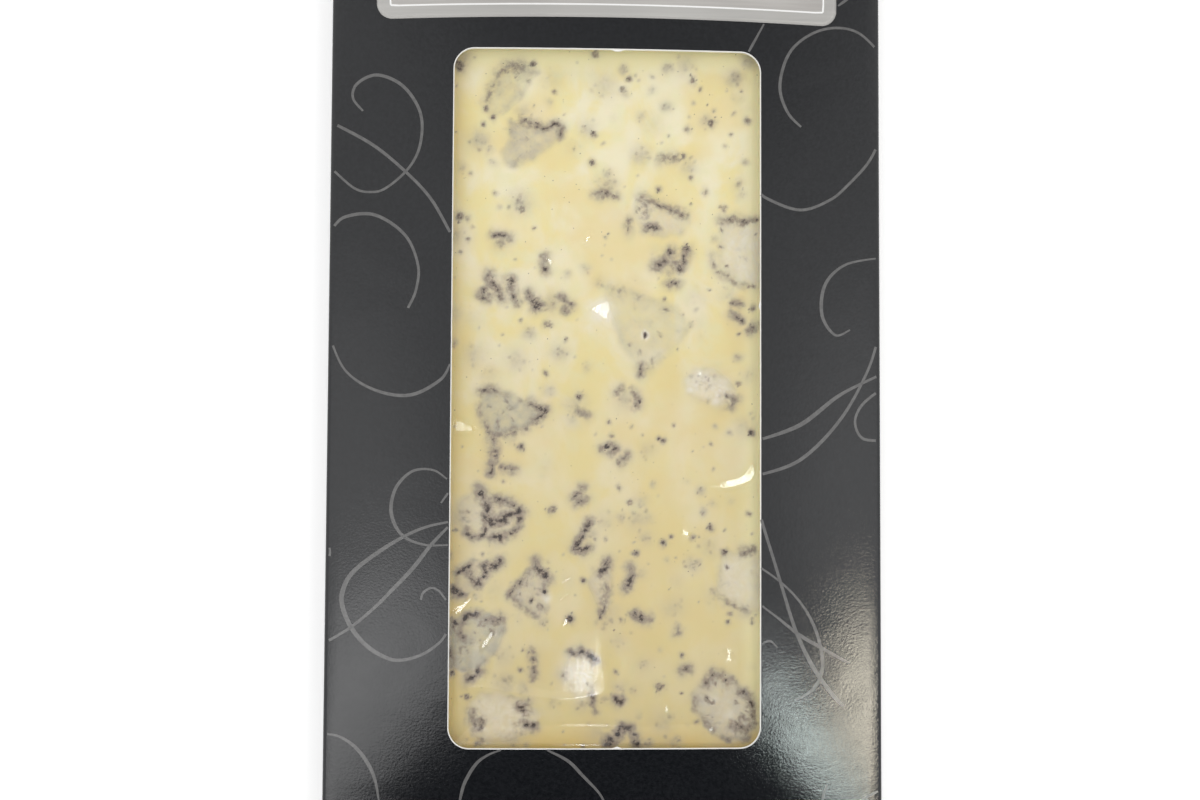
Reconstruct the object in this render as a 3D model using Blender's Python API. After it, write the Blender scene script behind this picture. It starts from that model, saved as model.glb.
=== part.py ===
"""A cookies and cream chocolate slab in its windowed carton.

The pack lies on its back with the window up. X runs across it, Y along it and Z up. The origin is
on the floor under the middle of the pack.
"""

import math
import random

import bmesh
import bpy

MM = 0.001

# Carton: a straight tuck box folded from one sheet of card. Its front panel bulges a little.
PACK_WIDTH = 115 * MM
PACK_LENGTH = 230 * MM
PACK_DEPTH = 12 * MM
CROWN = 3 * MM
CARD = 0.5 * MM
CREASE_RADIUS = 0.8 * MM
CREASE_STEPS = 3
GAP = 0.35 * MM
PANEL_COLUMNS = 20
PANEL_ROWS = 20
TUCK_LENGTH = 13 * MM
TUCK_TAPER = 0.93
DUST_FLAP_LENGTH = 36 * MM
DUST_FLAP_TAPER = 1.2 * MM
DUST_CREASE_RADIUS = 0.6 * MM
BACK_SETBACK = 0.2 * MM

# Window in the front panel, and the clear film glued behind it.
WINDOW_WIDTH = 63.8 * MM
WINDOW_LENGTH = 144.2 * MM
WINDOW_Y = -12.2 * MM
WINDOW_RADIUS = 4.2 * MM
CORNER_STEPS = 8
FILM_MARGIN = 6 * MM
FILM_THICKNESS = 0.25 * MM
FILM_COLUMNS = 10
FILM_ROWS = 16

# Label above the window, with a lower edge that arches up a little in its middle.
LABEL_WIDTH = 96.4 * MM
LABEL_HEIGHT = 40 * MM
LABEL_TOP_MARGIN = 9 * MM
LABEL_RADIUS = 3.4 * MM
LABEL_ARCH = 0.7 * MM
LABEL_THICKNESS = 0.2 * MM
LABEL_COLUMNS = 14

# Slab: poured in a tray mould, so its shown face is a little smaller than its back.
SLAB_WIDTH = 77 * MM
SLAB_LENGTH = 158 * MM
SLAB_THICKNESS = 9.8 * MM
SLAB_BOTTOM = CARD + 0.3 * MM
SLAB_TOP = SLAB_BOTTOM + SLAB_THICKNESS
SLAB_DRAFT = 1.0 * MM
SLAB_EDGE = 0.8 * MM
SLAB_RADIUS = 4 * MM
SLAB_RELIEF = 0.2 * MM
SLAB_COLUMNS = 16
SLAB_ROWS = 30

# Cookie pieces set into the slab's face. Each row has the place of a piece from the middle of the
# window, its length, its width (all in millimetres), its turn in degrees and its corners.
COOKIE_PIECES = (
    (-19.6, 65.4, 9.5, 8.0, 55, 5),
    (-15.2, 53.2, 12.5, 9.4, -20, 5),
    (11.9, 38.3, 12.5, 8.0, 10, 5),
    (29.5, 30.4, 14.5, 10.5, 85, 6),
    (14.4, 28.8, 7.4, 6.2, 35, 4),
    (-21.4, 22.8, 8.4, 6.8, -15, 5),
    (8.3, 15.1, 18.5, 14.0, -38, 3),
    (22.3, 2.0, 11.2, 7.8, 5, 6),
    (-19.4, -2.9, 14.2, 9.6, 12, 4),
    (-24.0, -24.3, 13.2, 10.2, 8, 7),
    (-26.0, -37.4, 10.8, 8.2, 20, 5),
    (28.2, -37.8, 12.5, 10.0, 78, 5),
    (-14.8, -40.0, 12.4, 9.2, 70, 3),
    (-0.8, -39.1, 10.0, 6.2, 82, 6),
    (-26.8, -50.4, 10.8, 9.6, -30, 5),
    (-4.8, -56.6, 8.6, 7.6, 60, 6),
    (25.2, -64.0, 15.0, 13.4, 80, 8),
    (-20.4, -66.9, 15.8, 9.8, -8, 6),
)
PIECE_PROUD = 0.4 * MM
PIECE_SUNK = 2.6 * MM
PIECE_EDGE = 0.45 * MM
PIECE_SEED = 11

# Crumbs bedded in the face, in loose groups. Each row has the middle of a group from the middle of
# the window, its spread (in millimetres) and how many crumbs it holds.
CRUMB_GROUPS = (
    (-28.8, 69.4, 0.6, 1),
    (0.8, 43.4, 2.2, 6),
    (12.0, 49.6, 4.0, 6),
    (-1.6, 49.2, 1.4, 3),
    (-14.0, 41.4, 2.6, 3),
    (28.0, 19.0, 2.4, 6),
    (-11.6, 20.8, 3.4, 7),
    (-23.0, 34.8, 2.0, 4),
    (-29.4, 37.6, 1.0, 2),
    (-22.6, -10.6, 2.2, 7),
    (4.6, 0.2, 2.6, 7),
    (3.0, -10.6, 2.2, 5),
    (12.2, -8.6, 1.4, 3),
    (-4.4, -1.4, 2.4, 5),
    (-4.2, -28.6, 2.6, 7),
    (6.2, -36.6, 1.6, 4),
    (9.0, -45.6, 2.2, 4),
    (14.0, -26.6, 2.6, 5),
    (18.4, -52.6, 3.2, 6),
    (-26.4, -57.8, 2.0, 4),
    (-13.8, -54.4, 1.4, 3),
    (4.2, -70.4, 2.6, 7),
    (-8.2, -70.6, 2.4, 4),
    (17.6, 66.0, 7.0, 6),
    (5.0, 61.0, 5.0, 4),
)
CRUMB_RADIUS = (0.45 * MM, 0.95 * MM)
CRUMB_SINK = 0.45
CRUMB_CLEARANCE = 0.8 * MM
CRUMB_SEED = 23

HALF_WIDTH = PACK_WIDTH / 2
HALF_LENGTH = PACK_LENGTH / 2
PANEL_HALF_WIDTH = HALF_WIDTH - CREASE_RADIUS
PANEL_HALF_LENGTH = HALF_LENGTH - CREASE_RADIUS
FILM_DROP = CARD + GAP


def clear_scene():
    for old in list(bpy.data.objects):
        bpy.data.objects.remove(old, do_unlink=True)


def material(name, colour, roughness, metallic=0.0):
    made = bpy.data.materials.new(name)
    made.use_nodes = True
    shader = made.node_tree.nodes["Principled BSDF"]
    shader.inputs["Base Color"].default_value = (*colour, 1.0)
    shader.inputs["Roughness"].default_value = roughness
    shader.inputs["Metallic"].default_value = metallic
    return made


def add_object(name, shape, finish=None, smooth_angle=35):
    """Turns a bmesh into an object of the scene."""
    bmesh.ops.recalc_face_normals(shape, faces=shape.faces[:])
    mesh = bpy.data.meshes.new(name)
    shape.to_mesh(mesh)
    shape.free()
    mesh.shade_smooth()
    mesh.set_sharp_from_angle(angle=math.radians(smooth_angle))
    made = bpy.data.objects.new(name, mesh)
    bpy.context.scene.collection.objects.link(made)
    if finish:
        mesh.materials.append(finish)
    return made


def as_cutter(made):
    made.hide_render = True
    made.display_type = "WIRE"
    return made


def solidify(made, thickness):
    """Thickens a sheet away from its outer face."""
    shell = made.modifiers.new("thickness", "SOLIDIFY")
    shell.thickness = thickness
    shell.offset = -1
    shell.use_even_offset = True


def apply_modifiers(made):
    """Puts the object's evaluated mesh in place of its own."""
    seen = made.evaluated_get(bpy.context.evaluated_depsgraph_get())
    mesh = bpy.data.meshes.new_from_object(seen)
    made.modifiers.clear()
    made.data = mesh


def fill_grid(shape, rows):
    """Joins rows of points, each as long as the next, with faces."""
    lines = [[shape.verts.new(point) for point in row] for row in rows]
    for low, high in zip(lines, lines[1:]):
        for i in range(len(low) - 1):
            shape.faces.new((low[i], low[i + 1], high[i + 1], high[i]))
    return lines


def steps(count):
    """Fractions from 0 to 1 with this many steps between them."""
    return [i / count for i in range(count + 1)]


def panel_height(x, y):
    """Outer face of the bulging front panel."""
    across = 1 - min(1, abs(x) / PANEL_HALF_WIDTH) ** 2
    along = 1 - min(1, abs(y) / PANEL_HALF_LENGTH) ** 4
    return PACK_DEPTH + CROWN * across * along


def crease(start_turn, centre_x, centre_z):
    """Quarter turn of the carton's outline around a long crease."""
    turns = [start_turn + math.pi / 2 * t for t in steps(CREASE_STEPS)]
    return [
        (centre_x + CREASE_RADIUS * math.cos(turn), centre_z + CREASE_RADIUS * math.sin(turn))
        for turn in turns
    ]


def dust_flap_levels():
    """Lowest and highest point of a dust flap where it leaves its side panel."""
    return CARD + GAP + CARD + GAP, PACK_DEPTH - CREASE_RADIUS - 0.3 * MM


def carton_outline():
    """The closed outline of the carton across its length, and how far each point runs along it.

    It starts at the right end of the back panel and goes up the right side, over the front panel
    and down the left side.
    """
    low, high = dust_flap_levels()
    side_end = HALF_LENGTH - CARD - GAP - DUST_CREASE_RADIUS
    lower, upper = CREASE_RADIUS, PACK_DEPTH - CREASE_RADIUS
    right = crease(-math.pi / 2, PANEL_HALF_WIDTH, lower)
    right += [(HALF_WIDTH, low), (HALF_WIDTH, high)]
    right += crease(0, PANEL_HALF_WIDTH, upper)
    ends = [HALF_LENGTH - BACK_SETBACK] + [side_end] * (len(right) - 2) + [PANEL_HALF_LENGTH]
    front = [PANEL_HALF_WIDTH * (1 - 2 * t) for t in steps(PANEL_COLUMNS)][1:-1]
    outline = right + [(x, None) for x in front] + [(-x, z) for x, z in reversed(right)]
    return outline, ends + [PANEL_HALF_LENGTH] * len(front) + ends[::-1]


def carton_tube(shape):
    """Front, sides and back as one tube of faces. Gives back its rows of points."""
    outline, ends = carton_outline()
    rows = []
    for t in steps(PANEL_ROWS):
        along = 2 * t - 1
        row = []
        for (x, z), end in zip(outline, ends):
            y = along * end
            row.append((x, y, panel_height(x, y) if z is None else z))
        rows.append(row)
    lines = fill_grid(shape, rows)
    for low, high in zip(lines, lines[1:]):
        shape.faces.new((low[-1], low[0], high[0], high[-1]))
    return lines


def closure_profile():
    """Y and Z of a closing flap and its tuck, from the front panel's end inwards."""
    inner_y = HALF_LENGTH - CREASE_RADIUS
    tuck_z = CARD + GAP
    points = []
    for t in steps(CREASE_STEPS)[1:]:
        turn = math.pi / 2 * t
        y = inner_y + CREASE_RADIUS * math.sin(turn)
        points.append((y, PACK_DEPTH - CREASE_RADIUS + CREASE_RADIUS * math.cos(turn)))
    for t in steps(CREASE_STEPS):
        turn = math.pi / 2 * t
        y = inner_y + CREASE_RADIUS * math.cos(turn)
        points.append((y, tuck_z + CREASE_RADIUS - CREASE_RADIUS * math.sin(turn)))
    return points, inner_y - TUCK_LENGTH, tuck_z


def extend(shape, edge, rows):
    """Adds faces from a line of points that is there already to new rows of points."""
    last = edge
    for row in rows:
        line = [shape.verts.new(point) for point in row]
        for i in range(len(line) - 1):
            shape.faces.new((last[i], last[i + 1], line[i + 1], line[i]))
        last = line


def add_closure(shape, edge, end):
    """Closing flap on the front panel, folded down over the end and tucked in at the back."""
    profile, tip_y, tip_z = closure_profile()
    across = [vert.co.x for vert in edge]
    rows = [[(x, end * y, z) for x in across] for y, z in profile]
    shoulder_y = (profile[-1][0] + 2 * tip_y) / 3
    rows.append([(x, end * shoulder_y, tip_z) for x in across])
    rows.append([(x * TUCK_TAPER, end * tip_y, tip_z) for x in across])
    extend(shape, edge, rows)


def add_dust_flap(shape, edge, side, end):
    """Small flap on a side panel, folded in behind the closing flap."""
    plane_y = HALF_LENGTH - CARD - GAP
    rows = []
    for t in steps(CREASE_STEPS)[1:]:
        turn = math.pi / 2 * t
        x = HALF_WIDTH - DUST_CREASE_RADIUS + DUST_CREASE_RADIUS * math.cos(turn)
        y = plane_y - DUST_CREASE_RADIUS + DUST_CREASE_RADIUS * math.sin(turn)
        rows.append([(side * x, end * y, vert.co.z) for vert in edge])
    tip_x = HALF_WIDTH - DUST_FLAP_LENGTH
    middle = PACK_DEPTH / 2
    tips = [vert.co.z + math.copysign(DUST_FLAP_TAPER, middle - vert.co.z) for vert in edge]
    rows.append([(side * tip_x, end * plane_y, z) for z in tips])
    extend(shape, edge, rows)


def rounded_rectangle(width, length, radius, centre_y=0.0):
    """Corners of a rounded rectangle around (0, centre_y)."""
    points = []
    for quarter in range(4):
        start = quarter * math.pi / 2
        centre_x = (width / 2 - radius) * (1 if quarter in (0, 3) else -1)
        middle_y = centre_y + (length / 2 - radius) * (1 if quarter in (0, 1) else -1)
        for t in steps(CORNER_STEPS):
            turn = start + math.pi / 2 * t
            x = centre_x + radius * math.cos(turn)
            points.append((x, middle_y + radius * math.sin(turn)))
    return points


def prism(outline, low, high):
    """Closed upright prism over an outline."""
    shape = bmesh.new()
    base = [shape.verts.new((x, y, low)) for x, y in outline]
    top = [shape.verts.new((x, y, high)) for x, y in outline]
    shape.faces.new(base[::-1])
    shape.faces.new(top)
    for i, corner in enumerate(base):
        j = (i + 1) % len(base)
        shape.faces.new((corner, base[j], top[j], top[i]))
    return shape


def make_window_cutter():
    outline = rounded_rectangle(WINDOW_WIDTH, WINDOW_LENGTH, WINDOW_RADIUS, WINDOW_Y)
    low, high = PACK_DEPTH - 2 * MM, PACK_DEPTH + CROWN + 2 * MM
    return as_cutter(add_object("window_cutter", prism(outline, low, high)))


def make_carton(finish):
    shape = bmesh.new()
    lines = carton_tube(shape)
    outline, _ = carton_outline()
    crease_points = CREASE_STEPS + 1
    last_front = len(outline) - (2 * crease_points + 2)
    first_front = 2 * crease_points + 1
    for end, line in ((-1, lines[0]), (1, lines[-1])):
        add_closure(shape, line[first_front : last_front + 1], end)
        right = line[crease_points : crease_points + 2]
        left = line[-crease_points - 2 : -crease_points]
        add_dust_flap(shape, right, 1, end)
        add_dust_flap(shape, left, -1, end)
    carton = add_object("carton", shape, finish)
    solidify(carton, CARD)
    window = carton.modifiers.new("window", "BOOLEAN")
    window.operation = "DIFFERENCE"
    window.object = make_window_cutter()
    return carton


def make_window_film(finish):
    """Clear film behind the window, following the bulge of the front panel."""
    half_width = WINDOW_WIDTH / 2 + FILM_MARGIN
    half_length = WINDOW_LENGTH / 2 + FILM_MARGIN
    rows = []
    for t in steps(FILM_ROWS):
        y = WINDOW_Y + half_length * (2 * t - 1)
        across = [half_width * (2 * u - 1) for u in steps(FILM_COLUMNS)]
        rows.append([(x, y, panel_height(x, y) - FILM_DROP) for x in across])
    shape = bmesh.new()
    fill_grid(shape, rows)
    film = add_object("window_film", shape, finish)
    solidify(film, FILM_THICKNESS)
    return film


def rounded_rows(half_width, half_length, radius, middle_rows):
    """Distance along and half width of each row of a rounded rectangle, from one end to the other."""
    turns = [math.pi / 2 * t for t in steps(4)]
    end = [(half_length - radius * (1 - math.sin(a)), half_width - radius * (1 - math.cos(a))) for a in turns]
    straight = half_length - radius
    middle = [(straight * (2 * t - 1), half_width) for t in steps(middle_rows)][1:-1]
    return [(-y, w) for y, w in reversed(end)] + middle + end


def make_label(finish):
    """Thin plate above the window, lying along the panel's bulge."""
    half_height = LABEL_HEIGHT / 2
    centre_y = HALF_LENGTH - LABEL_TOP_MARGIN - half_height
    rows = []
    for along, half_width in rounded_rows(LABEL_WIDTH / 2, half_height, LABEL_RADIUS, 4):
        row = []
        for u in steps(LABEL_COLUMNS):
            x = half_width * (2 * u - 1)
            arch = LABEL_ARCH * (1 - (2 * u - 1) ** 2) * (half_height - along) / LABEL_HEIGHT
            y = centre_y + along + arch
            row.append((x, y, panel_height(x, y) + GAP + LABEL_THICKNESS))
        rows.append(row)
    shape = bmesh.new()
    fill_grid(shape, rows)
    label = add_object("label", shape, finish)
    solidify(label, LABEL_THICKNESS)
    return label


def slab_relief(x, y):
    """Low swell of the poured face."""
    waves = math.sin(x / (9.1 * MM) + 1.3) * math.cos(y / (12.7 * MM) - 0.4)
    waves += 0.6 * math.sin(x / (4.9 * MM) - y / (6.3 * MM))
    return SLAB_RELIEF * waves / 1.6


def slab_body(finish):
    """Block with a drafted side all round, a soft upper edge and a gently uneven face."""
    levels = (
        (SLAB_BOTTOM, 0.0),
        (SLAB_TOP - SLAB_EDGE, SLAB_DRAFT),
        (SLAB_TOP - 0.3 * SLAB_EDGE, SLAB_DRAFT + 0.3 * SLAB_EDGE),
        (SLAB_TOP, SLAB_DRAFT + SLAB_EDGE),
    )
    shape = bmesh.new()
    inset = levels[-1][1]
    half_width, half_length = SLAB_WIDTH / 2 - inset, SLAB_LENGTH / 2 - inset
    rows = []
    for along, reach in rounded_rows(half_width, half_length, SLAB_RADIUS, SLAB_ROWS):
        across = [reach * (2 * u - 1) for u in steps(SLAB_COLUMNS)]
        rows.append([(x, WINDOW_Y + along, SLAB_TOP + slab_relief(x, along)) for x in across])
    lines = fill_grid(shape, rows)
    rim = lines[0] + [line[-1] for line in lines[1:-1]] + lines[-1][::-1]
    rim += [line[0] for line in lines[-2:0:-1]]
    above, above_inset = rim, inset
    for z, side_inset in reversed(levels[:-1]):
        grow_x = (SLAB_WIDTH / 2 - side_inset) / (SLAB_WIDTH / 2 - above_inset)
        grow_y = (SLAB_LENGTH / 2 - side_inset) / (SLAB_LENGTH / 2 - above_inset)
        ring = []
        for vert in above:
            y = WINDOW_Y + (vert.co.y - WINDOW_Y) * grow_y
            ring.append(shape.verts.new((vert.co.x * grow_x, y, z)))
        for i, vert in enumerate(above):
            j = (i + 1) % len(above)
            shape.faces.new((vert, above[j], ring[j], ring[i]))
        above, above_inset = ring, side_inset
    shape.faces.new(above)
    return add_object("slab", shape, finish)


def piece_outline(length, width, turn, corners, draw):
    """Broken edge of a cookie piece, around its middle: corners at uneven angles on an oval."""
    points = []
    for i in range(corners):
        angle = 2 * math.pi * (i + draw.uniform(-0.16, 0.16)) / corners
        reach = draw.uniform(0.92, 1.04)
        x, y = reach * length / 2 * math.cos(angle), reach * width / 2 * math.sin(angle)
        c, s = math.cos(math.radians(turn)), math.sin(math.radians(turn))
        points.append((x * c - y * s, x * s + y * c))
    return points


def grown(outline, distance):
    """Convex outline with each side moved out by this distance."""
    moved = []
    for i, (x, y) in enumerate(outline):
        before, after = outline[i - 1], outline[(i + 1) % len(outline)]
        ax, ay = x - before[0], y - before[1]
        bx, by = after[0] - x, after[1] - y
        a, b = math.hypot(ax, ay), math.hypot(bx, by)
        first, second = (ay / a, -ax / a), (by / b, -bx / b)
        spread = 1 + first[0] * second[0] + first[1] * second[1]
        moved.append((
            x + distance * (first[0] + second[0]) / spread,
            y + distance * (first[1] + second[1]) / spread,
        ))
    return moved


def piece_shape(outline, x, y, draw):
    """Cookie piece with softened upper edges and a lumpy top, standing a little proud."""
    shape = bmesh.new()
    top = SLAB_TOP + PIECE_PROUD
    middle = [(x + 0.5 * (a[0] + b[0]), y + 0.5 * (a[1] + b[1])) for a, b in sides_of(outline)]
    edge = [point for pair in zip([(x + a, y + b) for a, b in outline], middle) for point in pair]
    levels = (
        (SLAB_TOP - PIECE_SUNK, 0.92),
        (top - PIECE_EDGE, 1.0),
        (top, 0.86),
    )
    rings = []
    for z, scale in levels:
        ring = []
        for px, py in edge:
            lift = draw.uniform(-0.12, 0.12) * MM if z == top else 0
            ring.append(shape.verts.new((x + (px - x) * scale, y + (py - y) * scale, z + lift)))
        rings.append(ring)
    for low, high in zip(rings, rings[1:]):
        for i, vert in enumerate(low):
            j = (i + 1) % len(low)
            shape.faces.new((vert, low[j], high[j], high[i]))
    shape.faces.new(rings[0][::-1])
    inner = []
    for vert in rings[-1]:
        lift = draw.uniform(-0.25, 0.2) * MM
        inner.append(shape.verts.new((x + (vert.co.x - x) * 0.5, y + (vert.co.y - y) * 0.5, top + lift)))
    peak = shape.verts.new((x, y, top + draw.uniform(-0.1, 0.2) * MM))
    for i, vert in enumerate(rings[-1]):
        j = (i + 1) % len(inner)
        shape.faces.new((vert, rings[-1][j], inner[j], inner[i]))
        shape.faces.new((inner[i], inner[j], peak))
    return shape


def sides_of(outline):
    return zip(outline, outline[1:] + outline[:1])


def make_cookie_pieces(finish):
    """Every cookie piece, and the cutters of the pockets that they sit in."""
    draw = random.Random(PIECE_SEED)
    pockets = bpy.data.collections.new("pockets")
    bpy.context.scene.collection.children.link(pockets)
    for number, (x, y, length, width, turn, corners) in enumerate(COOKIE_PIECES, 1):
        x, y = x * MM, WINDOW_Y + y * MM
        outline = piece_outline(length * MM, width * MM, turn, corners, draw)
        add_object(f"cookie_piece_{number:02d}", piece_shape(outline, x, y, draw), finish)
        pocket = [(x + a, y + b) for a, b in grown(outline, GAP)]
        shape = prism(pocket, SLAB_TOP - PIECE_SUNK - GAP, SLAB_TOP + 2 * MM)
        cutter = as_cutter(add_object(f"pocket_{number:02d}", shape))
        bpy.context.scene.collection.objects.unlink(cutter)
        pockets.objects.link(cutter)
    return pockets


def clear_of_pieces(x, y, radius):
    """Whether a crumb here stays clear of every cookie piece and of the slab's edge."""
    for px, py, length, width, turn, _ in COOKIE_PIECES:
        c, s = math.cos(math.radians(turn)), math.sin(math.radians(turn))
        dx, dy = x - px * MM, y - WINDOW_Y - py * MM
        along, across = dx * c + dy * s, dy * c - dx * s
        room = radius + CRUMB_CLEARANCE
        if math.hypot(along / (length * MM / 2 + room), across / (width * MM / 2 + room)) < 1.06:
            return False
    inside = abs(x) < SLAB_WIDTH / 2 - 4 * MM
    return inside and abs(y - WINDOW_Y) < SLAB_LENGTH / 2 - 4 * MM


def crumb_places():
    """Centre and radius of each crumb, none touching another."""
    draw = random.Random(CRUMB_SEED)
    placed = []
    for group_x, group_y, spread, count in CRUMB_GROUPS:
        for _ in range(count):
            for _ in range(40):
                x = (group_x + draw.gauss(0, spread)) * MM
                y = WINDOW_Y + (group_y + draw.gauss(0, spread)) * MM
                radius = draw.uniform(*CRUMB_RADIUS)
                apart = all(math.hypot(x - a, y - b) > radius + r + 0.3 * MM for a, b, r in placed)
                if apart and clear_of_pieces(x, y, radius):
                    placed.append((x, y, radius))
                    break
    return placed


def fuse_crumbs(slab):
    """Joins the crumbs to the slab's face."""
    draw = random.Random(CRUMB_SEED + 1)
    group = bpy.data.collections.new("crumbs")
    bpy.context.scene.collection.children.link(group)
    for x, y, radius in crumb_places():
        shape = bmesh.new()
        bmesh.ops.create_icosphere(shape, subdivisions=1, radius=radius)
        flat = draw.uniform(0.5, 0.8)
        for vert in shape.verts:
            stretch = draw.uniform(0.8, 1.15)
            vert.co = (vert.co.x * stretch, vert.co.y * stretch, vert.co.z * stretch * flat)
        z = SLAB_TOP + slab_relief(x, y - WINDOW_Y) + radius * flat * (0.5 - CRUMB_SINK)
        bmesh.ops.translate(shape, verts=shape.verts[:], vec=(x, y, z))
        crumb = add_object("crumb", shape)
        bpy.context.scene.collection.objects.unlink(crumb)
        group.objects.link(crumb)
    fuse = slab.modifiers.new("crumbs", "BOOLEAN")
    fuse.operation = "UNION"
    fuse.operand_type = "COLLECTION"
    fuse.collection = group
    apply_modifiers(slab)
    for crumb in list(group.objects):
        bpy.data.objects.remove(crumb, do_unlink=True)
    bpy.data.collections.remove(group)


def make_slab(finish, pockets):
    slab = slab_body(finish)
    fuse_crumbs(slab)
    cut = slab.modifiers.new("pockets", "BOOLEAN")
    cut.operation = "DIFFERENCE"
    cut.operand_type = "COLLECTION"
    cut.collection = pockets
    return slab


def main():
    clear_scene()
    make_carton(material("black_card", (0.03, 0.03, 0.035), 0.35))
    make_window_film(material("clear_film", (0.95, 0.95, 0.93), 0.05))
    make_label(material("silver_label", (0.62, 0.63, 0.65), 0.35, 0.6))
    pockets = make_cookie_pieces(material("cookie", (0.18, 0.14, 0.11), 0.75))
    make_slab(material("white_chocolate", (0.83, 0.74, 0.44), 0.4), pockets)


main()
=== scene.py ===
"""Looks of a cookies and cream chocolate slab in its windowed carton.

The pack lies on its back. X runs across it, Y along it and Z up, in metres. Marks on the slab, the
card's flourishes and the film's creases are placed by where they show in the photograph.
"""

import math
import random

import bmesh
import bpy
import numpy as np
from mathutils import Euler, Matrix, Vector, noise


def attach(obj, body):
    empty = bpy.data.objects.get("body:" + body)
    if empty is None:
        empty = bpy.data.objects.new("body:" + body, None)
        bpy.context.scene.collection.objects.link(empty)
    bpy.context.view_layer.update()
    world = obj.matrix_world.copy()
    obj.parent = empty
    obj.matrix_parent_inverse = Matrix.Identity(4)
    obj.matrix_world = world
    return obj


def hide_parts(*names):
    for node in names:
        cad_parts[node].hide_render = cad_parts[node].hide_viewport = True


MM = 0.001

# Camera, above the pack and looking almost straight down. The photograph is 1200 by 800 pixels.
PHOTO_WIDTH = 1200
PHOTO_HEIGHT = 800
CAMERA_PLACE = Vector((-15.89, -30.67, 350.0)) * MM
CAMERA_TURN = Euler((math.radians(2.974), math.radians(-2.497), math.radians(0.277)))
FOCAL_PIXELS = 1633.0
SENSOR = 36.0
PIXEL = 0.208 * MM

# Carton, as in the solid model.
PACK_WIDTH = 115 * MM
PACK_LENGTH = 230 * MM
PACK_DEPTH = 12 * MM
CROWN = 3 * MM
CARD = 0.5 * MM
CREASE_RADIUS = 0.8 * MM
CREASE_STEPS = 5
GAP = 0.35 * MM
PANEL_COLUMNS = 48
PANEL_ROWS = 84
TUCK_LENGTH = 13 * MM
TUCK_TAPER = 0.93
DUST_FLAP_LENGTH = 36 * MM
DUST_FLAP_TAPER = 1.2 * MM
DUST_CREASE_RADIUS = 0.6 * MM
BACK_SETBACK = 0.2 * MM
SIDE_MARGIN = 0.3 * MM
HALF_WIDTH = PACK_WIDTH / 2
HALF_LENGTH = PACK_LENGTH / 2
PANEL_HALF_WIDTH = HALF_WIDTH - CREASE_RADIUS
PANEL_HALF_LENGTH = HALF_LENGTH - CREASE_RADIUS

# Window and its cut edge: how far each ring of the edge lies outside the window, and how high above
# the panel; then how rough the cut is, and the nicks in it.
WINDOW_WIDTH = 63.8 * MM
WINDOW_LENGTH = 144.2 * MM
WINDOW_Y = -12.2 * MM
WINDOW_RADIUS = 4.2 * MM
WINDOW_CORNER_STEPS = 16
CUT_RINGS = ((0.19 * MM, 0.012 * MM), (0, 0.025 * MM), (-0.03 * MM, -0.2 * MM))
CUT_THICKNESS = 0.02 * MM
CUT_GRAIN = 0.8 * MM
CUT_RAGGED = 0.03 * MM
CUT_NICKS = ((617, 48.5), (617, 748.5), (451, 94), (757, 305))
NICK_REACH = 0.8 * MM
NICK_DEPTH = 0.35 * MM
CUTTER_REACH = 2 * MM

# Film: how it lies and creases, then its index of refraction, which is lower at the back face, where
# light leaves it.
FILM_MARGIN = 5.5 * MM
FILM_DROP = CARD + 0.08 * MM
FILM_STEP = 0.36 * MM
FILM_HELD = 5 * MM
FILM_SAG = 0.35 * MM
FACET_BLEND = 0.36 * MM
FILM_INDEX = 1.46
FILM_INDEX_DROP = 0.775
FILM_GLOSS = 1.3

# Ink, label, slab, cookie pieces and floor.
INK_TOP = 0.035 * MM
INK_BOTTOM = -0.025 * MM
INK_TO_CREASE = 0.1 * MM
INK_TO_WINDOW = 0.15 * MM
INK_UNDER_LABEL = 0.3 * MM
LABEL_WIDTH = 96.4 * MM
LABEL_HEIGHT = 40 * MM
LABEL_TOP_MARGIN = 9 * MM
LABEL_RADIUS = 3.4 * MM
LABEL_ARCH = 0.7 * MM
LABEL_THICKNESS = 0.12 * MM
LABEL_RIM = 2.6 * MM
LABEL_LINE = 0.35 * MM
LABEL_STEP = 1.6 * MM
SLAB_WIDTH = 77 * MM
SLAB_LENGTH = 158 * MM
SLAB_BOTTOM = 0.8 * MM
SLAB_TOP = 10.6 * MM
SLAB_RADIUS = 4 * MM
SLAB_DRAFT = 1.0 * MM
SLAB_EDGE = 0.8 * MM
SLAB_STEP = 0.325 * MM
SLAB_COARSE_STEP = 1.1 * MM
SLAB_FINE_MARGIN = 1 * MM
CHUNK_RINGS = 12
CHUNK_RISE = 0.3 * MM
CHUNK_SINK = 0.12 * MM
CHUNK_DEPTH = 1.5 * MM
CHUNK_LUMPS = 1.9 * MM
CHUNK_GRAIN = 0.7 * MM
FLOOR_SIZE = 8
FLOOR_GAP = 0.2 * MM

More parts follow.
